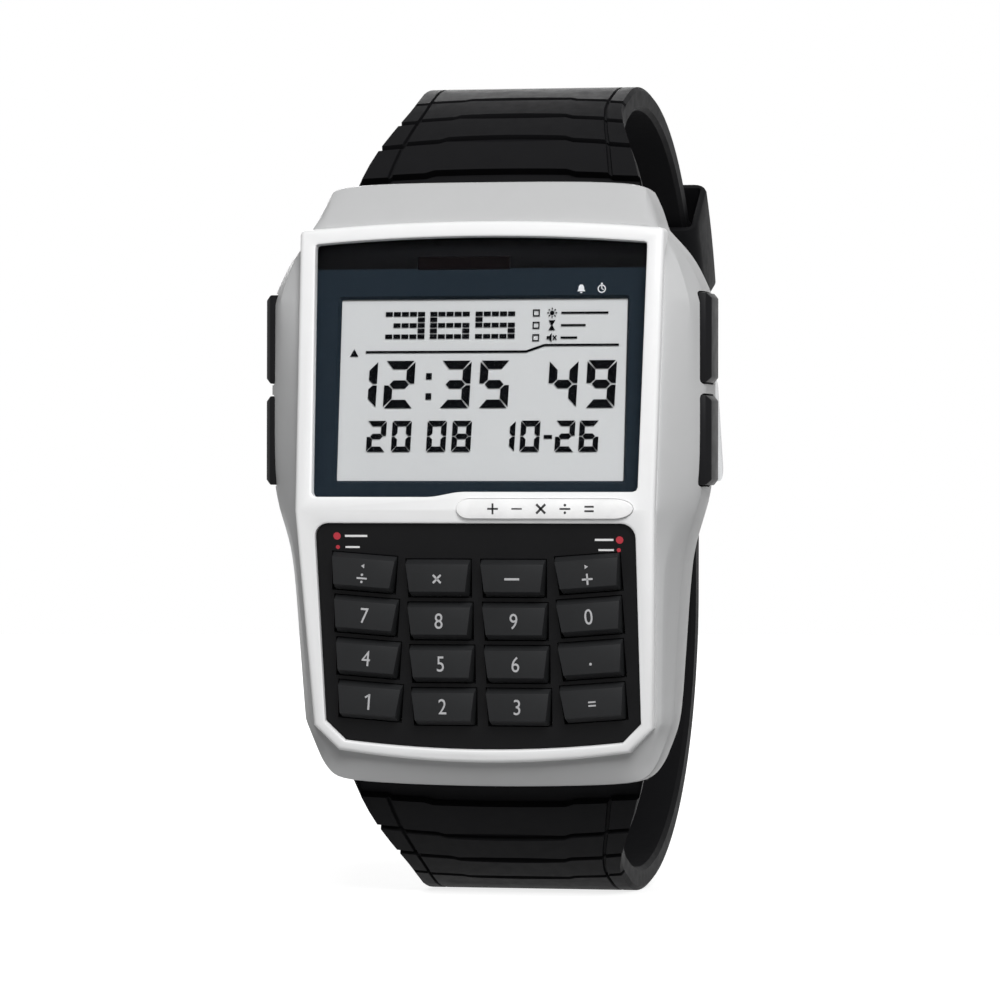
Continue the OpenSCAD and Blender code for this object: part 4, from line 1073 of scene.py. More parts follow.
def bar_between(x0, z0, x1, z1, t):
    """Thin strip between two points."""
    d = Vector((x1 - x0, z1 - z0)).normalized() * t / 2
    return [(x0 - d.y, z0 + d.x), (x1 - d.y, z1 + d.x), (x1 + d.y, z1 - d.x), (x0 + d.y, z0 - d.x)]


def lamp_rays():
    turns = [math.radians(45 * i) for i in range(8)]
    return [bar_between(0.3 * math.cos(a), 0.3 * math.sin(a), 0.46 * math.cos(a), 0.46 * math.sin(a), 0.08)
            for a in turns]


ICONS = {
    "bell": [[(-0.42, -0.28), (-0.3, -0.1), (-0.27, 0.2), (-0.12, 0.4), (0.12, 0.4), (0.27, 0.2),
              (0.3, -0.1), (0.42, -0.28)],
             box(-0.1, -0.46, 0.1, -0.34)],
    "timer": ring_strip(0.42, 0.1, 20) + [box(-0.09, 0.44, 0.09, 0.6), bar_between(0, 0, 0, 0.28, 0.09),
                                          bar_between(0.02, 0, 0.2, -0.1, 0.09)],
    "lamp": [disc(0.2, 12)] + lamp_rays(),
    "hourglass": [[(-0.3, 0.45), (0.3, 0.45), (0.04, 0), (-0.04, 0)],
                  [(-0.04, 0), (0.04, 0), (0.3, -0.45), (-0.3, -0.45)]],
    "mute": [box(-0.45, -0.14, -0.25, 0.14), [(-0.22, 0.14), (0.0, 0.4), (0.0, -0.4), (-0.22, -0.14)],
             bar_between(0.12, 0.2, 0.45, -0.2, 0.09), bar_between(0.12, -0.2, 0.45, 0.2, 0.09)],
}
SIGNS = {
    "times": [bar_between(-0.38, -0.38, 0.38, 0.38, 0.19), bar_between(-0.38, 0.38, 0.38, -0.38, 0.19)],
    "minus": [box(-0.72, -0.1, 0.72, 0.1)],
    "plus": [box(-0.52, -0.09, 0.52, 0.09), box(-0.09, -0.52, 0.09, 0.52)],
    "divide": [box(-0.5, -0.08, 0.5, 0.08), disc(0.12, 12, 0, 0.34), disc(0.12, 12, 0, -0.34)],
    "point": [disc(0.13, 12, 0, -0.3)],
    "equals": [box(-0.36, 0.1, 0.36, 0.24), box(-0.36, -0.24, 0.36, -0.1)],
    "1": [box(-0.02, -0.74, 0.17, 0.74), bar_between(-0.32, 0.4, 0.06, 0.66, 0.17)],
}


def figure_shapes(m):
    """Everything that the display shows, about its middle; heights are given from the ridge."""
    shapes = []
    mid = m.lcd_mid
    # Hours, minutes and seconds: figure, left edge and width
    for n, x, w in ((1, -13.35, 2.85), (2, -9.75, 2.95), (3, -4.2, 2.95), (5, -0.35, 2.9),
                    (4, 6.45, 2.8), (9, 10.15, 2.85)):
        shapes += moved(segments(n, w, 4.58, 0.8, 0.13), x, 10.17 - mid)
    # Year, month and day: figure and left edge
    for n, x in ((2, -11.3), (0, -8.82), (0, -5.35), (8, -2.88), (1, 1.42), (0, 3.85), (2, 7.27), (6, 9.6)):
        shapes += moved(segments(n, 1.88, 3.0, 0.51, 0.08), x, 5.93 - mid)
    shapes.append(box(6.2, 7.2 - mid, 7.0, 7.55 - mid))
    for z in (11.3, 13.25):
        shapes.append(box(-5.55, z - mid - 0.3, -5.0, z - mid + 0.3))
    # Upper row in cells
    for glyph, left in zip("365", (-9.72, -5.3, -0.82)):
        for r, line in enumerate(CELLS[glyph]):
            for c, on in enumerate(line):
                if on == "1":
                    x, z = left + c * 0.8, 19.5 - mid - r * 0.545
                    shapes.append(box(x, z - 0.42, x + 0.68, z))
    # Line with a step, under the upper row
    z = 15.62 - mid
    shapes.append(box(-11.6, z - 0.1, 4.3, z + 0.1))
    shapes.append(bar_between(4.25, z, 6.05, z + 0.62, 0.2))
    shapes.append(box(6.0, z + 0.52, 13.3, z + 0.72))
    # Three small squares, each with an icon and a line
    for row, (icon, line) in enumerate((("lamp", 4.6), ("hourglass", 2.4), ("mute", 1.6))):
        z = 19.35 - 1.2 * row - mid
        shapes += moved(frame_of(0.66, 0.66, 0.1), 5.15, z)
        shapes += moved(ICONS[icon], 6.7, z, 1.05)
        shapes.append(box(7.6, z - 0.09, 7.6 + line, z + 0.09))
    shapes.append([(-12.75, 15.9 - mid), (-12.35, 15.2 - mid), (-13.15, 15.2 - mid)])
    return shapes


# Keys

# Way in which the small arrow over a sign points: -1 is left
ARROWS = {"divide": -1, "plus": 1}


def key_face(m):
    """Heights and depths of a key's top face in its own frame."""
    h = m.keypad_key_h / 2
    return SimpleNamespace(h=h, top=h - 0.3, foot=-h + 0.72, low=PLATE_DEPTH - m.keypad_rise * 0.64,
                           high=PLATE_DEPTH - m.keypad_rise)


def build_key(m, column, row):
    """Key that narrows towards its foot, with a sloping top and a flange behind the plate."""
    bm = bmesh.new()
    f = key_face(m)
    half, taper, inset = m.key_w / 2, 0.34, 0.05
    base = [(-half, f.h), (half, f.h), (half - taper, -f.h), (-half + taper, -f.h)]
    top = [(-half + inset, f.low, f.top), (half - inset, f.low, f.top),
           (half - taper - inset, f.high, f.foot), (-half + taper + inset, f.high, f.foot)]
    flange = [(x * 1.09, z) for x, z in base]
    back = 1.9
    skin(bm, [top, level(base, PLATE_DEPTH), level(base, back + 0.05), level(flange, back + 0.05),
              level(flange, back + 0.45)])
    bmesh.ops.recalc_face_normals(bm, faces=bm.faces)
    upper = [e for e in bm.edges if min(v.co.y for v in e.verts) < PLATE_DEPTH - 0.1]
    soften(bm, upper, 0.08, 2)
    bmesh.ops.transform(bm, matrix=on_key(m, column, row), verts=bm.verts)
    return bm


def add_legend(bm, m, name, column, row):
    """Prints a key's figure on its sloping face."""
    f = key_face(m)
    place = on_key(m, column, row)
    middle = (f.top + f.foot) / 2 - 0.08
    ink = 0.02

    def slope(z):
        return f.low + (f.high - f.low) * (f.top - z) / (f.top - f.foot) - ink

    if name not in SIGNS:
        slim = Matrix.Diagonal((0.86, 1, 1, 1))
        add_text(bm, name, 1.5, ink, lambda z: slope(z + middle), place @ at(0, 0, middle) @ slim, 1)
        return
    arrow = ARROWS.get(name, 0)
    shapes = moved(SIGNS[name], 0, middle + (-0.45 if arrow else 0.0))
    if arrow:
        tip = [(-0.16 * arrow, 0.2), (0.16 * arrow, 0.0), (-0.16 * arrow, -0.2)]
        shapes += moved([tip[::arrow]], 0, middle + 0.72)
    part = bmesh.new()
    for shape in shapes:
        plate(part, shape, 0, ink)
    for v in part.verts:
        v.co.y += slope(v.co.z)
    merge_placed(bm, part, place, 1)


# Pushers

def build_pusher(m, side):
    """Pusher with a bevelled head, and a stem with a groove for its clip."""
    bm = bmesh.new()
    inner, outer = m.pocket_x + 0.95, m.hw + 0.5
    block(bm, (inner, -m.pusher_t / 2, -m.pusher_l / 2), (outer, m.pusher_t / 2, m.pusher_l / 2))
    soften(bm, [e for e in bm.edges if all(v.co.x > outer - 0.01 for v in e.verts)], 0.5, 1)
    soften(bm, sharp_edges(bm, 20), 0.09, 2)
    groove_end, groove_start = m.cave_x - 0.43, m.cave_x - 0.07
    for radius, start, end in ((1.0, groove_start, inner + 0.4), (0.7, groove_end, groove_start),
                               (1.0, m.cave_x - 2.0, groove_end)):
        rod(bm, radius, (start, 0, 0), (end, 0, 0), 24)
    bmesh.ops.transform(bm, matrix=at_pusher(m, side), verts=bm.verts)
    return bm


# Strap

# A rib's row: place along the strap, depth, how it bows across, and how far its middle is drawn back
Row = namedtuple("Row", "s deep bow wide")
# Depth of the lengthwise grooves
LINE_DEPTH = 0.32
# Places across the strap as shares of its half width; 1 marks the floor of a lengthwise groove
RIGHT_COLUMNS = ((0.12, 0), (0.25, 0), (0.38, 0), (0.47, 0), (0.53, 0), (0.64, 0), (0.74, 0), (0.787, 0),
                 (0.795, 1), (0.81, 1), (0.818, 0), (0.9, 0), (0.965, 0))
COLUMNS = tuple((-x, d) for x, d in reversed(RIGHT_COLUMNS)) + ((0.0, 0),) + RIGHT_COLUMNS


class Loop:
    """The strap's middle line, measured in millimetres from a spring bar, for the short or the long strap."""

    def __init__(self, m, long=False):
        self.m, self.long = m, long
        self.back_y = m.case_wrist / 2 + m.strap_thickness / 2
        self.rear_y = self.back_y - m.strap_bend
        self.rear_z = m.strap_loop / 2 - m.strap_bend
        self.buckle_y = self.back_y - BUCKLE_IN
        # Neck from the spring bar to the top, then a quarter turn, then the flat run behind the wrist
        rise = m.strap_loop / 2 - m.bar_z
        run = self.rear_y - m.bar_y
        self.neck_r = (run * run + rise * rise) / (2 * rise)
        self.neck_a = math.atan2(run, self.neck_r - rise)
        self.neck_l = self.neck_r * self.neck_a
        self.flat_s = self.neck_l + m.strap_bend * math.pi / 2
        self.flat_l = 2 * self.rear_z
        self.middle_s = self.flat_s + self.rear_z
        self.short_end = self.middle_s - BUCKLE_Z
        self.tip_s = self.flat_s + self.flat_l + m.strap_bend * math.radians(38)
        self.hole_s = self.middle_s + 6.3

    def at(self, s):
        """(y, z, outward y, outward z)."""
        if self.flat_s <= s < self.flat_s + self.flat_l:
            return self.back_y, self.rear_z - (s - self.flat_s), 1.0, 0.0
        r, z = self.m.strap_bend, self.rear_z
        if s < self.neck_l:
            r, z = self.neck_r, self.m.strap_loop / 2 - self.neck_r
            a = self.neck_a - s / r
            ny, nz = -math.sin(a), math.cos(a)
        elif s < self.flat_s:
            a = (s - self.neck_l) / r
            ny, nz = math.sin(a), math.cos(a)
        else:
            a = (s - self.flat_s - self.flat_l) / r
            z = -z
            ny, nz = math.cos(a), -math.sin(a)
        return self.rear_y + r * ny, z + r * nz, ny, nz

    def lift(self, s):
        """Rise of the long strap over the short one."""
        return STRAP_OVER * ease((s - self.middle_s - 1) / 7.6) if self.long else 0.0

    def half_width(self, s):
        m = self.m
        return m.strap_w / 2 - 0.05 - (m.strap_w - m.strap_back_width) / 2 * ease(s / 15.3)


def groove_rows():
    """Rows of the ribbed part of a strap: a wide groove by the case, then three narrow ones."""
    rows = [Row(0.6, 0.0, 0.0, 0.0), Row(1.2, 0.0, 0.0, 0.0)]
    for s, half, deep, bow, wide in ((3.6, 1.0, 0.85, 0.5, 0.3), (8.7, 0.2, 0.5, 0.9, 0.34),
                                     (12.25, 0.2, 0.5, 0.9, 0.3), (16.0, 0.2, 0.5, 0.9, 0.22)):
        rows += [Row(s - half - 0.1, 0.0, bow, wide), Row(s - half, deep, bow, wide),
                 Row(s + half, deep, bow, 0.0), Row(s + half + 0.12, 0.0, bow, 0.0)]
        if s < 15:
            rows.append(Row(s + half + 1.6, 0.0, bow * 0.6, 0.0))
    return rows


def strap_ring(loop, s, row=None, cut=0.0, plain=False):
    """One ring across a strap, drawn in at its sides by cut; a plain one has no lengthwise grooves."""
    t, corner = loop.m.strap_thickness / 2, 0.4
    outer = []
    for x, groove in COLUMNS:
        off, along, depth = abs(x), s, 0.0
        if row:
            along = s - row.bow * x * x - row.wide * (1 - min(1.0, off / 0.5) ** 2)
            if row.bow:
                along -= 0.28 * ease((off - 0.47) / 0.06)
                along -= 0.25 * ease((off - 0.795) / 0.02)
            depth = max(row.deep, LINE_DEPTH * groove)
        elif not plain:
            depth = LINE_DEPTH * groove * (1 - ease((s - 18) / 6))
        # The lengthwise grooves run closer together near the case
        line = 0.75 + 0.09 * ease(s / 18)
        if off > 0.8:
            x = math.copysign(line + (off - 0.8) * (1 - line) / 0.2, x)
        elif off > 0.6:
            x = math.copysign(0.6 + (off - 0.6) * (line - 0.6) / 0.2, x)
        w = loop.half_width(along) - cut
        outer.append((along, x * (w - corner) / 0.965, t - depth))
    w = loop.half_width(s) - cut
    edge = outer[-1][0]
    right = [(edge, w, t - corner), (edge, w, -t + corner), (s, w - corner, -t), (s, (w - corner) / 2, -t)]
    left = [(along, -x, v) for along, x, v in reversed(right)]
    points = []
    for along, x, v in outer + right + [(s, 0, -t)] + left:
        y, z, ny, nz = loop.at(along)
        up = v + loop.lift(along)
        points.append((x, y + up * ny, (-1 if loop.long else 1) * (z + up * nz)))
    return points


def strap_rings(loop, end, count):
    """The ribbed part and the smooth run up to a place."""
    return ([strap_ring(loop, row.s, row) for row in groove_rows()]
            + [strap_ring(loop, s) for s in spaced(RIBS_END, end, count)])


def cross_rod(half, y, z, r, steps):
    """Round body across the watch, to join with a piece or to cut out of one."""
    bm = bmesh.new()
    rod(bm, r, (-half, y, z), (half, y, z), steps)
    return bm


def bore(y, z, r):
    return cross_rod(25, y, z, r, 28)


def build_short_strap(m):
    """Strap at 12 o'clock, with an eye for the buckle's bar and a notch for its tongue."""
    loop = Loop(m)
    bm = bmesh.new()
    skin(bm, strap_rings(loop, loop.short_end, 56))
    knuckle = cross_rod(m.strap_w / 2, m.bar_y, m.bar_z, KNUCKLE_R, 40)
    eye = cross_rod(loop.half_width(loop.short_end) - 0.1, loop.buckle_y, BUCKLE_Z, 1.9, 40)
    bm = carved(bm, [knuckle, eye], "UNION")
    notch = bmesh.new()
    block(notch, (-1.4, -5, -6), (1.4, 5, 2.6), at(0, loop.buckle_y, BUCKLE_Z))
    soften(notch, edges_along(notch, 1), 0.5, 3)
    return carved(bm, [bore(m.bar_y, m.bar_z, BAR_BORE), bore(loop.buckle_y, BUCKLE_Z, 0.8), notch])


def build_long_strap(m):
    """Strap at 6 o'clock, with a round tip and seven holes; the tongue is in the third from the tip."""
    loop = Loop(m, long=True)
    rings = strap_rings(loop, loop.middle_s, 46)
    rings += [strap_ring(loop, s) for s in spaced(loop.middle_s + 1, loop.tip_s - 5, 36)]
    for back in (4.0, 3.0, 2.2, 1.5, 0.9, 0.45, 0.15, 0.0):
        cut = 7.5 * (1 - math.sqrt(max(0.0, 1 - ((4.6 - back) / 4.75) ** 2)))
        rings.append(strap_ring(loop, loop.tip_s - back, cut=cut, plain=True))
    bm = bmesh.new()
    skin(bm, rings)
    bm = carved(bm, [cross_rod(m.strap_w / 2, m.bar_y, -m.bar_z, KNUCKLE_R, 40)], "UNION")
    cutters = [bore(m.bar_y, -m.bar_z, BAR_BORE)]
    for i in range(-4, 3):
        s = loop.hole_s + i * m.strap_pitch
        y, z, ny, nz = loop.at(s)
        y, z = y + ny * loop.lift(s), z + nz * loop.lift(s)
        # The hole in use is longer and leans with the tongue
        height, lean = (5.0, math.radians(-28)) if i == 0 else (3.2, 0.0)
        hole = bmesh.new()
        plate(hole, rounded(2.5, height, 1.1, 6), -4, 4)
        place = at(0, y, -z) @ Matrix.Rotation(lean - math.atan2(nz, ny), 4, "X")
        bmesh.ops.transform(hole, matrix=place, verts=hole.verts)
        cutters.append(hole)
    return carved(bm, cutters)


def build_keeper(m):
    """Arched loop round both straps, with rounded edges and corners."""
    loop = Loop(m)
    gap, wall, half, edge = 0.62, 0.74, 4.75, 0.26
    w, h = m.strap_back_width + 2 * gap, m.strap_thickness + STRAP_OVER + 2 * gap
    outer, inner = rounded(w + 2 * wall, h + 2 * wall, 1.5, 5), rounded(w, h, 0.35, 5)
    middle = m.strap_bend + STRAP_OVER / 2

    def arched(outline, along):
        a = math.radians(61) + along / m.strap_bend
        return [(x, loop.rear_y + (middle + out) * math.sin(a), loop.rear_z + (middle + out) * math.cos(a))
                for x, out in outline]

    # Round over each end: outline, how far it is grown, and how far it lies behind the end
    turn = ((inner, 0.08, edge * 0.3), (inner, edge, 0.0), (outer, -edge, 0.0), (outer, -0.08, edge * 0.3))
    straight = spaced(-half + edge, half - edge, 6)
    rings = [arched(inner, straight[0])]
    rings += [arched(grown(outline, by), -half + back) for outline, by, back in turn]
    rings += [arched(outer, along) for along in straight]
    rings += [arched(grown(outline, by), half - back) for outline, by, back in reversed(turn)]
    rings += [arched(inner, along) for along in reversed(straight[1:])]
    bm = bmesh.new()
    skin(bm, rings, closed=True)
    return bm


# Buckle

def buckle_places(m):
    """Buckle bar, crossbar, the arms' inner faces, and the way from one bar to the other."""
    loop = Loop(m)
    bar_y, cross_z = loop.buckle_y, 2.2
    cross_y = loop.back_y + 0.25 + m.strap_thickness / 2 + 0.4 + 1.0
    return SimpleNamespace(bar_y=bar_y, cross_y=cross_y, cross_z=cross_z,
                           inside=m.strap_back_width / 2 + 0.55,
                           lean=math.atan2(cross_y - bar_y, BUCKLE_Z - cross_z),
                           reach=math.hypot(cross_y - bar_y, BUCKLE_Z - cross_z))


def build_buckle(m):
    """Two rounded arms with a round crossbar."""
    p = buckle_places(m)
    thick = 1.4
    bm = bmesh.new()
    outline = []
    for r, z, turns in ((1.8, 0.0, spaced(180, 0, 12)), (1.3, -p.reach, spaced(0, -180, 12))):
        outline += [(r * math.cos(math.radians(a)), z + r * math.sin(math.radians(a))) for a in turns]
    for x in (-p.inside, p.inside + thick):
        arm = bmesh.new()
        plate(arm, outline, 0, thick)
        soften(arm, sharp_edges(arm, 60), 0.32, 3)
        turn = Matrix.Rotation(p.lean, 4, "X") @ Matrix.Rotation(math.pi / 2, 4, "Z")
        merge_placed(bm, arm, at(x, p.bar_y, BUCKLE_Z) @ turn)
    return carved(bm, [cross_rod(p.inside + 0.3, p.cross_y, p.cross_z, 1.0, 36)], "UNION")


def build_buckle_bar(m):
    """Bar through the short strap's eye, with thinner ends in the arms."""
    p = buckle_places(m)
    bm = cross_rod(p.inside - 0.1, p.bar_y, BUCKLE_Z, 0.75, 28)
    for side in (-1, 1):
        rod(bm, 0.55, (side * (p.inside - 0.15), p.bar_y, BUCKLE_Z),
            (side * (p.inside + 1.35), p.bar_y, BUCKLE_Z), 24)
    return bm


def build_tongue(m):
    """Bent tongue with an eye on the buckle's bar and its tip on the crossbar."""
    p = buckle_places(m)
    over, t, eye, low = 1.06, 0.9, 1.5, 0.65
    upper = [(0.0, eye - 0.05), (0.4 * p.reach, low + t), (p.reach - 0.5, over + t),
             (p.reach + 1.2, over + t + 0.1), (p.reach + 1.5, over + t - 0.3)]
    lower = [(p.reach + 1.5, over + 0.15), (p.reach - 0.5, over), (0.4 * p.reach, low), (0.0, 0.8)]
    bm = bmesh.new()
    face = bm.faces.new([bm.verts.new((-1, y, -along)) for along, y in upper + lower])
    made = bmesh.ops.extrude_face_region(bm, geom=[face])["geom"]
    bmesh.ops.translate(bm, vec=(2, 0, 0), verts=verts_of(made))
    bmesh.ops.recalc_face_normals(bm, faces=bm.faces)
    soften(bm, sharp_edges(bm, 50), 0.22, 3)
    ring = cross_rod(1, 0, 0, eye, 32)
    soften(ring, sharp_edges(ring, 60), 0.15, 2)
    bm = carved(carved(bm, [ring], "UNION"), [cross_rod(5, 0, 0, 0.8, 28)])
    bmesh.ops.transform(bm, matrix=at(0, p.bar_y, BUCKLE_Z) @ Matrix.Rotation(p.lean, 4, "X"), verts=bm.verts)
    return bm


# Back

def build_back(m):
    """Back plate with a shallow raised panel and four screw ears."""
    cave_foot, cave_z = m.waist_x - 2.5, m.end_z - 7.2
    screws = [(s * (m.cave_x + 0.7), cave_z - 0.1) for s in (-1, 1)]
    screws += [(s * (cave_foot + 0.2), -cave_z + 0.1) for s in (-1, 1)]
    front, back = m.case_thickness - 0.8, m.case_thickness
    outline = rounded(2 * cave_foot + 2.6, 2 * cave_z + 1.4, 3.4, 8)
    steps = ((front, 0), (back - 0.2, 0), (back - 0.1, -0.06), (back - 0.04, -0.2), (back - 0.04, -1.5),
             (back - 0.12, -1.6), (back - 0.12, -2.0), (back - 0.02, -2.15), (back, -2.5))
    bm = bmesh.new()
    skin(bm, [level(grown(outline, by), m.front_y + depth) for depth, by in steps])
    ears, cutters = [], []
    for x, z in screws:
        ear = bmesh.new()
        plate(ear, disc(1.42, 32, x, z), m.front_y + front, m.front_y + back - 0.04)
        rear = m.front_y + back - 0.1
        soften(ear, [e for e in sharp_edges(ear, 60) if all(v.co.y > rear for v in e.verts)], 0.12, 2)
        ears.append(ear)
        # Bore for the screw and a wider bed for its head
        for r, start in ((0.8, front - 1), (1.21, back - 0.42)):
            cut = bmesh.new()
            plate(cut, disc(r, 28, x, z), m.front_y + start, m.front_y + back + 2)
            cutters.append(cut)
    return carved(carved(bm, ears, "UNION"), cutters)


# Stage

def build_floor(floor_z):
    """Round floor; the camera, metal and glass also see it glow, more so further out."""
    s = bpy.context.scene.watch_stage
    bm = bmesh.new()
    bmesh.ops.create_circle(bm, cap_ends=True, segments=96, radius=1.2)
    bmesh.ops.translate(bm, vec=(0, 0, floor_z), verts=bm.verts)
    mesh = bpy.data.meshes.new("studio_floor")
    bm.to_mesh(mesh)
    bm.free()
    made = Finish("floor_paper", s.floor, 0.9)
    made.vary_roughness(made.noise(0.004, 2), 0.85, 0.95)
    reach = made.node("ShaderNodeVectorMath")
    reach.operation = "LENGTH"
    made.link(made.place, reach.inputs[0])
    glow = made.node("ShaderNodeMapRange", From_Min=0.06, From_Max=0.4, To_Min=s.glow, To_Max=1.0)
    made.link(reach.outputs["Value"], glow.inputs["Value"])
    made.shader.inputs["Emission Color"].default_value = (1, 1, 1, 1)
    made.link(combined(made.tree, "MULTIPLY", glow.outputs["Result"], seen_rays(made.tree)),
              made.shader.inputs["Emission Strength"])
    mesh.materials.append(made.material)
    floor = bpy.data.objects.new("studio_floor", mesh)
    bpy.context.scene.collection.objects.link(floor)


def build_world():
    """Even light from all round, and white where the camera, metal or glass sees it."""
    scene = bpy.context.scene
    world = scene.world or bpy.data.worlds.new("studio")
    scene.world = world
    world.use_nodes = True
    tree = world.node_tree
    tree.nodes.clear()
    strength = tree.nodes.new("ShaderNodeMapRange")
    strength.inputs["To Min"].default_value = scene.watch_stage.fill
    strength.inputs["To Max"].default_value = 1.0
    tree.links.new(seen_rays(tree), strength.inputs["Value"])
    background = tree.nodes.new("ShaderNodeBackground")
    background.inputs["Color"].default_value = (1, 1, 1, 1)
    tree.links.new(strength.outputs["Result"], background.inputs["Strength"])
    output = tree.nodes.new("ShaderNodeOutputWorld")
    tree.links.new(background.outputs["Background"], output.inputs["Surface"])


def add_lamp(name, power, place):
    """Soft square lamp that points at the wrist's middle."""
    data = bpy.data.lights.new(name, "AREA")
    data.energy = power
    data.size = 0.5
    lamp = bpy.data.objects.new(name, data)
    bpy.context.scene.collection.objects.link(lamp)
    lamp.location = place
    lamp.rotation_euler = (-Vector(place)).to_track_quat("-Z", "Y").to_euler()


def add_camera(front_y):
    """Camera where the photograph was taken from."""
    turn, up, roll, distance = math.radians(13.27), math.radians(-0.24), math.radians(0.1), 559.0
    back = Vector((math.sin(turn) * math.cos(up), -math.cos(turn) * math.cos(up), math.sin(up)))
    across = Vector((math.cos(turn), math.sin(turn), 0))
    front = Vector((0, front_y, 0))
    place = front + back * distance
    aim = front + across * 2.601 - back.cross(across) * 1.21
    data = bpy.data.cameras.new("camera")
    data.sensor_width = 36
    data.lens = 211.2
    data.clip_start, data.clip_end = 0.01, 20
    camera = bpy.data.objects.new("camera", data)
    bpy.context.scene.collection.objects.link(camera)
    camera.rotation_mode = "QUATERNION"
    camera.rotation_quaternion = ((aim - place).to_track_quat("-Z", "Y")
                                  @ Matrix.Rotation(roll, 3, "Z").to_quaternion())
    camera.location = place * MM
    bpy.context.scene.camera = camera


# Operators

class WATCH_OT_build_stage(bpy.types.Operator):
    """Builds floor, lamps and camera"""
    bl_idname = "watch.build_stage"
    bl_label = "Stage"
    bl_options = {"REGISTER", "UNDO"}

    def execute(self, context):
        m = measures()
        context.scene.view_settings.view_transform = "Standard"
        build_floor(-(m.strap_loop / 2 + m.strap_thickness / 2) * MM)
        build_world()
        power = context.scene.watch_stage.lamp
        add_lamp("main_lamp", power, (0.28, -0.76, 0.6))
        add_lamp("rear_lamp", power * 0.3, (-0.35, 0.85, 0.4))
        add_camera(m.front_y)
        return {"FINISHED"}


class WATCH_OT_build_case(bpy.types.Operator):
    """Builds the case between bezel and back"""
    bl_idname = "watch.build_case"
    bl_label = "Case"
    bl_options = {"REGISTER", "UNDO"}

    def execute(self, context):
        finish_piece("case_body", build_case(measures()), "case", ["silver_case"],
                     ["case_shell"], 24)
        return {"FINISHED"}


class WATCH_OT_build_bezel(bpy.types.Operator):
    """Builds the bezel round window and keypad"""
    bl_idname = "watch.build_bezel"
    bl_label = "Bezel"
    bl_options = {"REGISTER", "UNDO"}

    def execute(self, context):
        # The bezel's silver is lightened as a painted highlight
        finish_piece("bezel", build_bezel(measures()), "case", ["bright_bezel"],
                     ["bezel_frame"], 35)
        return {"FINISHED"}


class WATCH_OT_build_badge(bpy.types.Operator):
    """Builds the oblong badge with its signs"""
    bl_idname = "watch.build_badge"
    bl_label = "Badge"
    bl_options = {"REGISTER", "UNDO"}

    def execute(self, context):
        place = at_badge(measures())
        bm = bmesh.new()
        soften(bm, plate(bm, badge_outline(), -0.25, 0.25, place), 0.1, 2)
        signs = []
        sizes = (("plus", 1.0), ("minus", 0.7), ("times", 1.15), ("divide", 1.05), ("equals", 1.25))
        for i, (name, size) in enumerate(sizes):
            signs += moved(SIGNS[name], -5.0 + 2.35 * i, 0, size)
        add_shapes(bm, signs, -0.27, -0.24, place, 1)
        finish_piece("badge", bm, "case", ["white_label", "black_print"], ["badge_plate"])
        return {"FINISHED"}


class WATCH_OT_build_window(bpy.types.Operator):
    """Builds the pane and the printed mask"""
    bl_idname = "watch.build_window"
    bl_label = "Window"
    bl_options = {"REGISTER", "UNDO"}

    def execute(self, context):
        m = measures()
        finish_piece("window", build_glass(m), "case", ["window_glass"], ["window_glass"], 5)
        finish_piece("mask", build_mask(m), "case", ["dark_surround"], ["display_surround"])
        bm = bmesh.new()
        icons = moved(ICONS["bell"], 9.6, 0, 0.95) + moved(ICONS["timer"], 11.6, -0.03, 0.95)
        add_shapes(bm, icons, 2.06, 2.09, on_display(m, 0, 21.6))
        finish_piece("mask_marks", bm, "case", ["white_print"])
        return {"FINISHED"}


class WATCH_OT_build_display(bpy.types.Operator):
    """Builds the figures on the display"""
    bl_idname = "watch.build_display"
    bl_label = "Display"
    bl_options = {"REGISTER", "UNDO"}

    def execute(self, context):
        m = measures()
        bm = bmesh.new()
        add_shapes(bm, figure_shapes(m), LCD_DEPTH - 0.13, LCD_DEPTH - 0.03, on_display(m, 0, m.lcd_mid))
        finish_piece("figures", bm, "case", ["lcd_ink"], ["lcd_figures"])
        return {"FINISHED"}


class WATCH_OT_build_marks(bpy.types.Operator):
    """Prints dots and lines on the keypad plate"""
    bl_idname = "watch.build_marks"
    bl_label = "Marks"
    bl_options = {"REGISTER", "UNDO"}

    def execute(self, context):
        bm = bmesh.new()
        dots = [disc(0.36, 20, -13.59, -2.61), disc(0.2, 16, -13.55, -3.69),
                disc(0.36, 20, 14.1, -2.93), disc(0.2, 16, 13.98, -3.91)]
        bars = [box(-12.8, -2.7, -10.6, -2.5), box(-12.8, -3.78, -11.4, -3.6),
                box(11.7, -3.02, 13.5, -2.82), box(12.0, -4.0, 13.5, -3.82)]
        for material, shapes in enumerate((dots, bars)):
            add_shapes(bm, shapes, PLATE_DEPTH - 0.02, PLATE_DEPTH + 0.01, on_keypad(measures()), material)
        finish_piece("keypad_marks", bm, "case", ["dot", "white_print"])
        return {"FINISHED"}


class WATCH_OT_build_keys(bpy.types.Operator):
    """Builds sixteen keys with their figures"""
    bl_idname = "watch.build_keys"
    bl_label = "Keys"
    bl_options = {"REGISTER", "UNDO"}

    def execute(self, context):
        m = measures()
        for row, names in enumerate(KEY_NAMES):
            for column, name in enumerate(names):
                bm = build_key(m, column, row)
                add_legend(bm, m, name, column, row)
                finish_piece("keycap_" + name, bm, f"key_{name}_cap",
                             ["key_plastic", "legend"], ["key_" + name])
        return {"FINISHED"}


class WATCH_OT_build_pushers(bpy.types.Operator):
    """Builds the four pushers"""
    bl_idname = "watch.build_pushers"
    bl_label = "Pushers"
    bl_options = {"REGISTER", "UNDO"}

    def execute(self, context):
        m = measures()
        for side in SIDES:
            finish_piece("button_" + side, build_pusher(m, side), f"pusher_{side}_set",
                         ["pusher_plastic"], ["pusher_" + side])
        return {"FINISHED"}


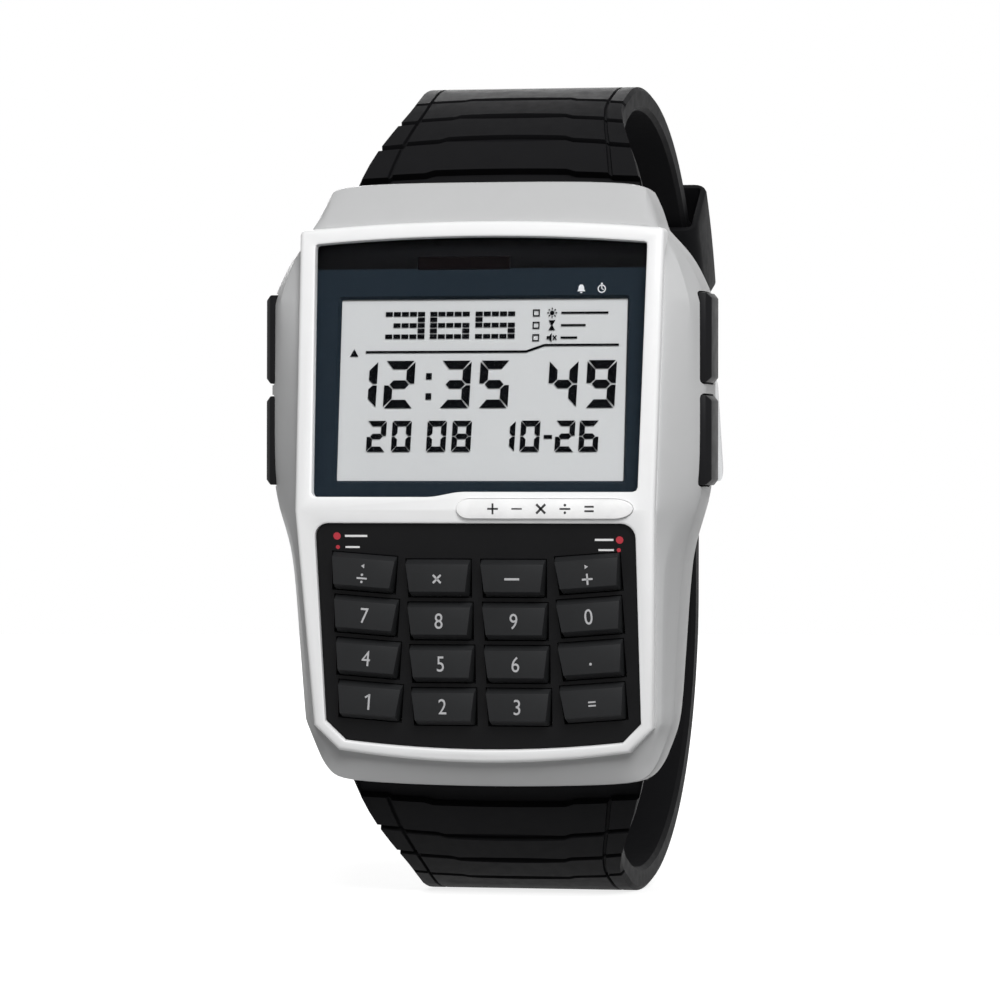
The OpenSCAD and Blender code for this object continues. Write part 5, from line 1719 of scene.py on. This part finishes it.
class WATCH_OT_build_straps(bpy.types.Operator):
    """Builds both straps and the keeper"""
    bl_idname = "watch.build_straps"
    bl_label = "Straps"
    bl_options = {"REGISTER", "UNDO"}

    def execute(self, context):
        m = measures()
        slot, rubber = "black_rubber", ["black_rubber"]
        finish_piece("short_band", build_short_strap(m), "short_strap", rubber, ["strap_upper"], 22)
        finish_piece("long_band", build_long_strap(m), "long_strap", rubber, ["strap_lower"], 22)
        finish_piece("keeper_loop", build_keeper(m), "keeper", rubber, ["strap_keeper"])
        return {"FINISHED"}


class WATCH_OT_build_buckle(bpy.types.Operator):
    """Builds frame, pin and tongue of the buckle"""
    bl_idname = "watch.build_buckle"
    bl_label = "Buckle"
    bl_options = {"REGISTER", "UNDO"}

    def execute(self, context):
        m = measures()
        finish_piece("buckle", build_buckle(m), "buckle", ["steel"], ["buckle_frame"])
        finish_piece("buckle_pin", build_buckle_bar(m), "buckle", ["steel"], ["buckle_bar"])
        finish_piece("tongue_piece", build_tongue(m), "tongue", ["steel"], ["buckle_tongue"])
        return {"FINISHED"}


class WATCH_OT_build_back(bpy.types.Operator):
    """Builds the back plate"""
    bl_idname = "watch.build_back"
    bl_label = "Back"
    bl_options = {"REGISTER", "UNDO"}

    def execute(self, context):
        finish_piece("back_plate", build_back(measures()), "case", ["steel"], ["case_back"])
        return {"FINISHED"}


class WATCH_OT_finish_inside(bpy.types.Operator):
    """Gives the inner pieces their finish"""
    bl_idname = "watch.finish_inside"
    bl_label = "Inside"
    bl_options = {"REGISTER", "UNDO"}

    def execute(self, context):
        slots = {s["node"]: s["material_slot"] for s in frame["record"]["subparts"]}
        for name, obj in frame["nodes"].items():
            finish = FINISHES[slots[name]]
            if not obj.material_slots:
                obj.data.materials.append(finish)
            for slot in obj.material_slots:
                slot.link = "OBJECT"
                slot.material = finish
        return {"FINISHED"}


OPERATORS = (WATCH_OT_build_stage, WATCH_OT_build_case, WATCH_OT_build_bezel, WATCH_OT_build_badge,
             WATCH_OT_build_window, WATCH_OT_build_display, WATCH_OT_build_marks, WATCH_OT_build_keys,
             WATCH_OT_build_pushers, WATCH_OT_build_straps, WATCH_OT_build_buckle, WATCH_OT_build_back,
             WATCH_OT_finish_inside)
SETTINGS = {"watch_case": WatchCase, "watch_display": WatchDisplay, "watch_keypad": WatchKeypad,
            "watch_strap": WatchStrap, "watch_stage": WatchStage}


class WATCH_PT_pieces(bpy.types.Panel):
    """Lists the watch's pieces"""
    bl_label = "Calculator Watch"
    bl_idname = "WATCH_PT_pieces"
    bl_space_type = "VIEW_3D"
    bl_region_type = "UI"
    bl_category = "Watch"

    def draw(self, context):
        for operator in OPERATORS:
            self.layout.operator(operator.bl_idname)
        for name, kind in SETTINGS.items():
            rows = self.layout.box()
            rows.label(text=kind.__doc__)
            for key in kind.__annotations__:
                rows.prop(getattr(context.scene, name), key)


def register():
    for name, kind in SETTINGS.items():
        bpy.utils.register_class(kind)
        setattr(bpy.types.Scene, name, PointerProperty(type=kind))
    for kind in OPERATORS + (WATCH_PT_pieces,):
        bpy.utils.register_class(kind)


def unregister():
    for kind in reversed(OPERATORS + (WATCH_PT_pieces,)):
        bpy.utils.unregister_class(kind)
    for name, kind in reversed(list(SETTINGS.items())):
        delattr(bpy.types.Scene, name)
        bpy.utils.unregister_class(kind)


def main():
    register()
    make_finishes(measures())
    for operator in OPERATORS:
        getattr(bpy.ops.watch, operator.bl_idname.split(".")[1])()


if __name__ == "__main__":
    main()
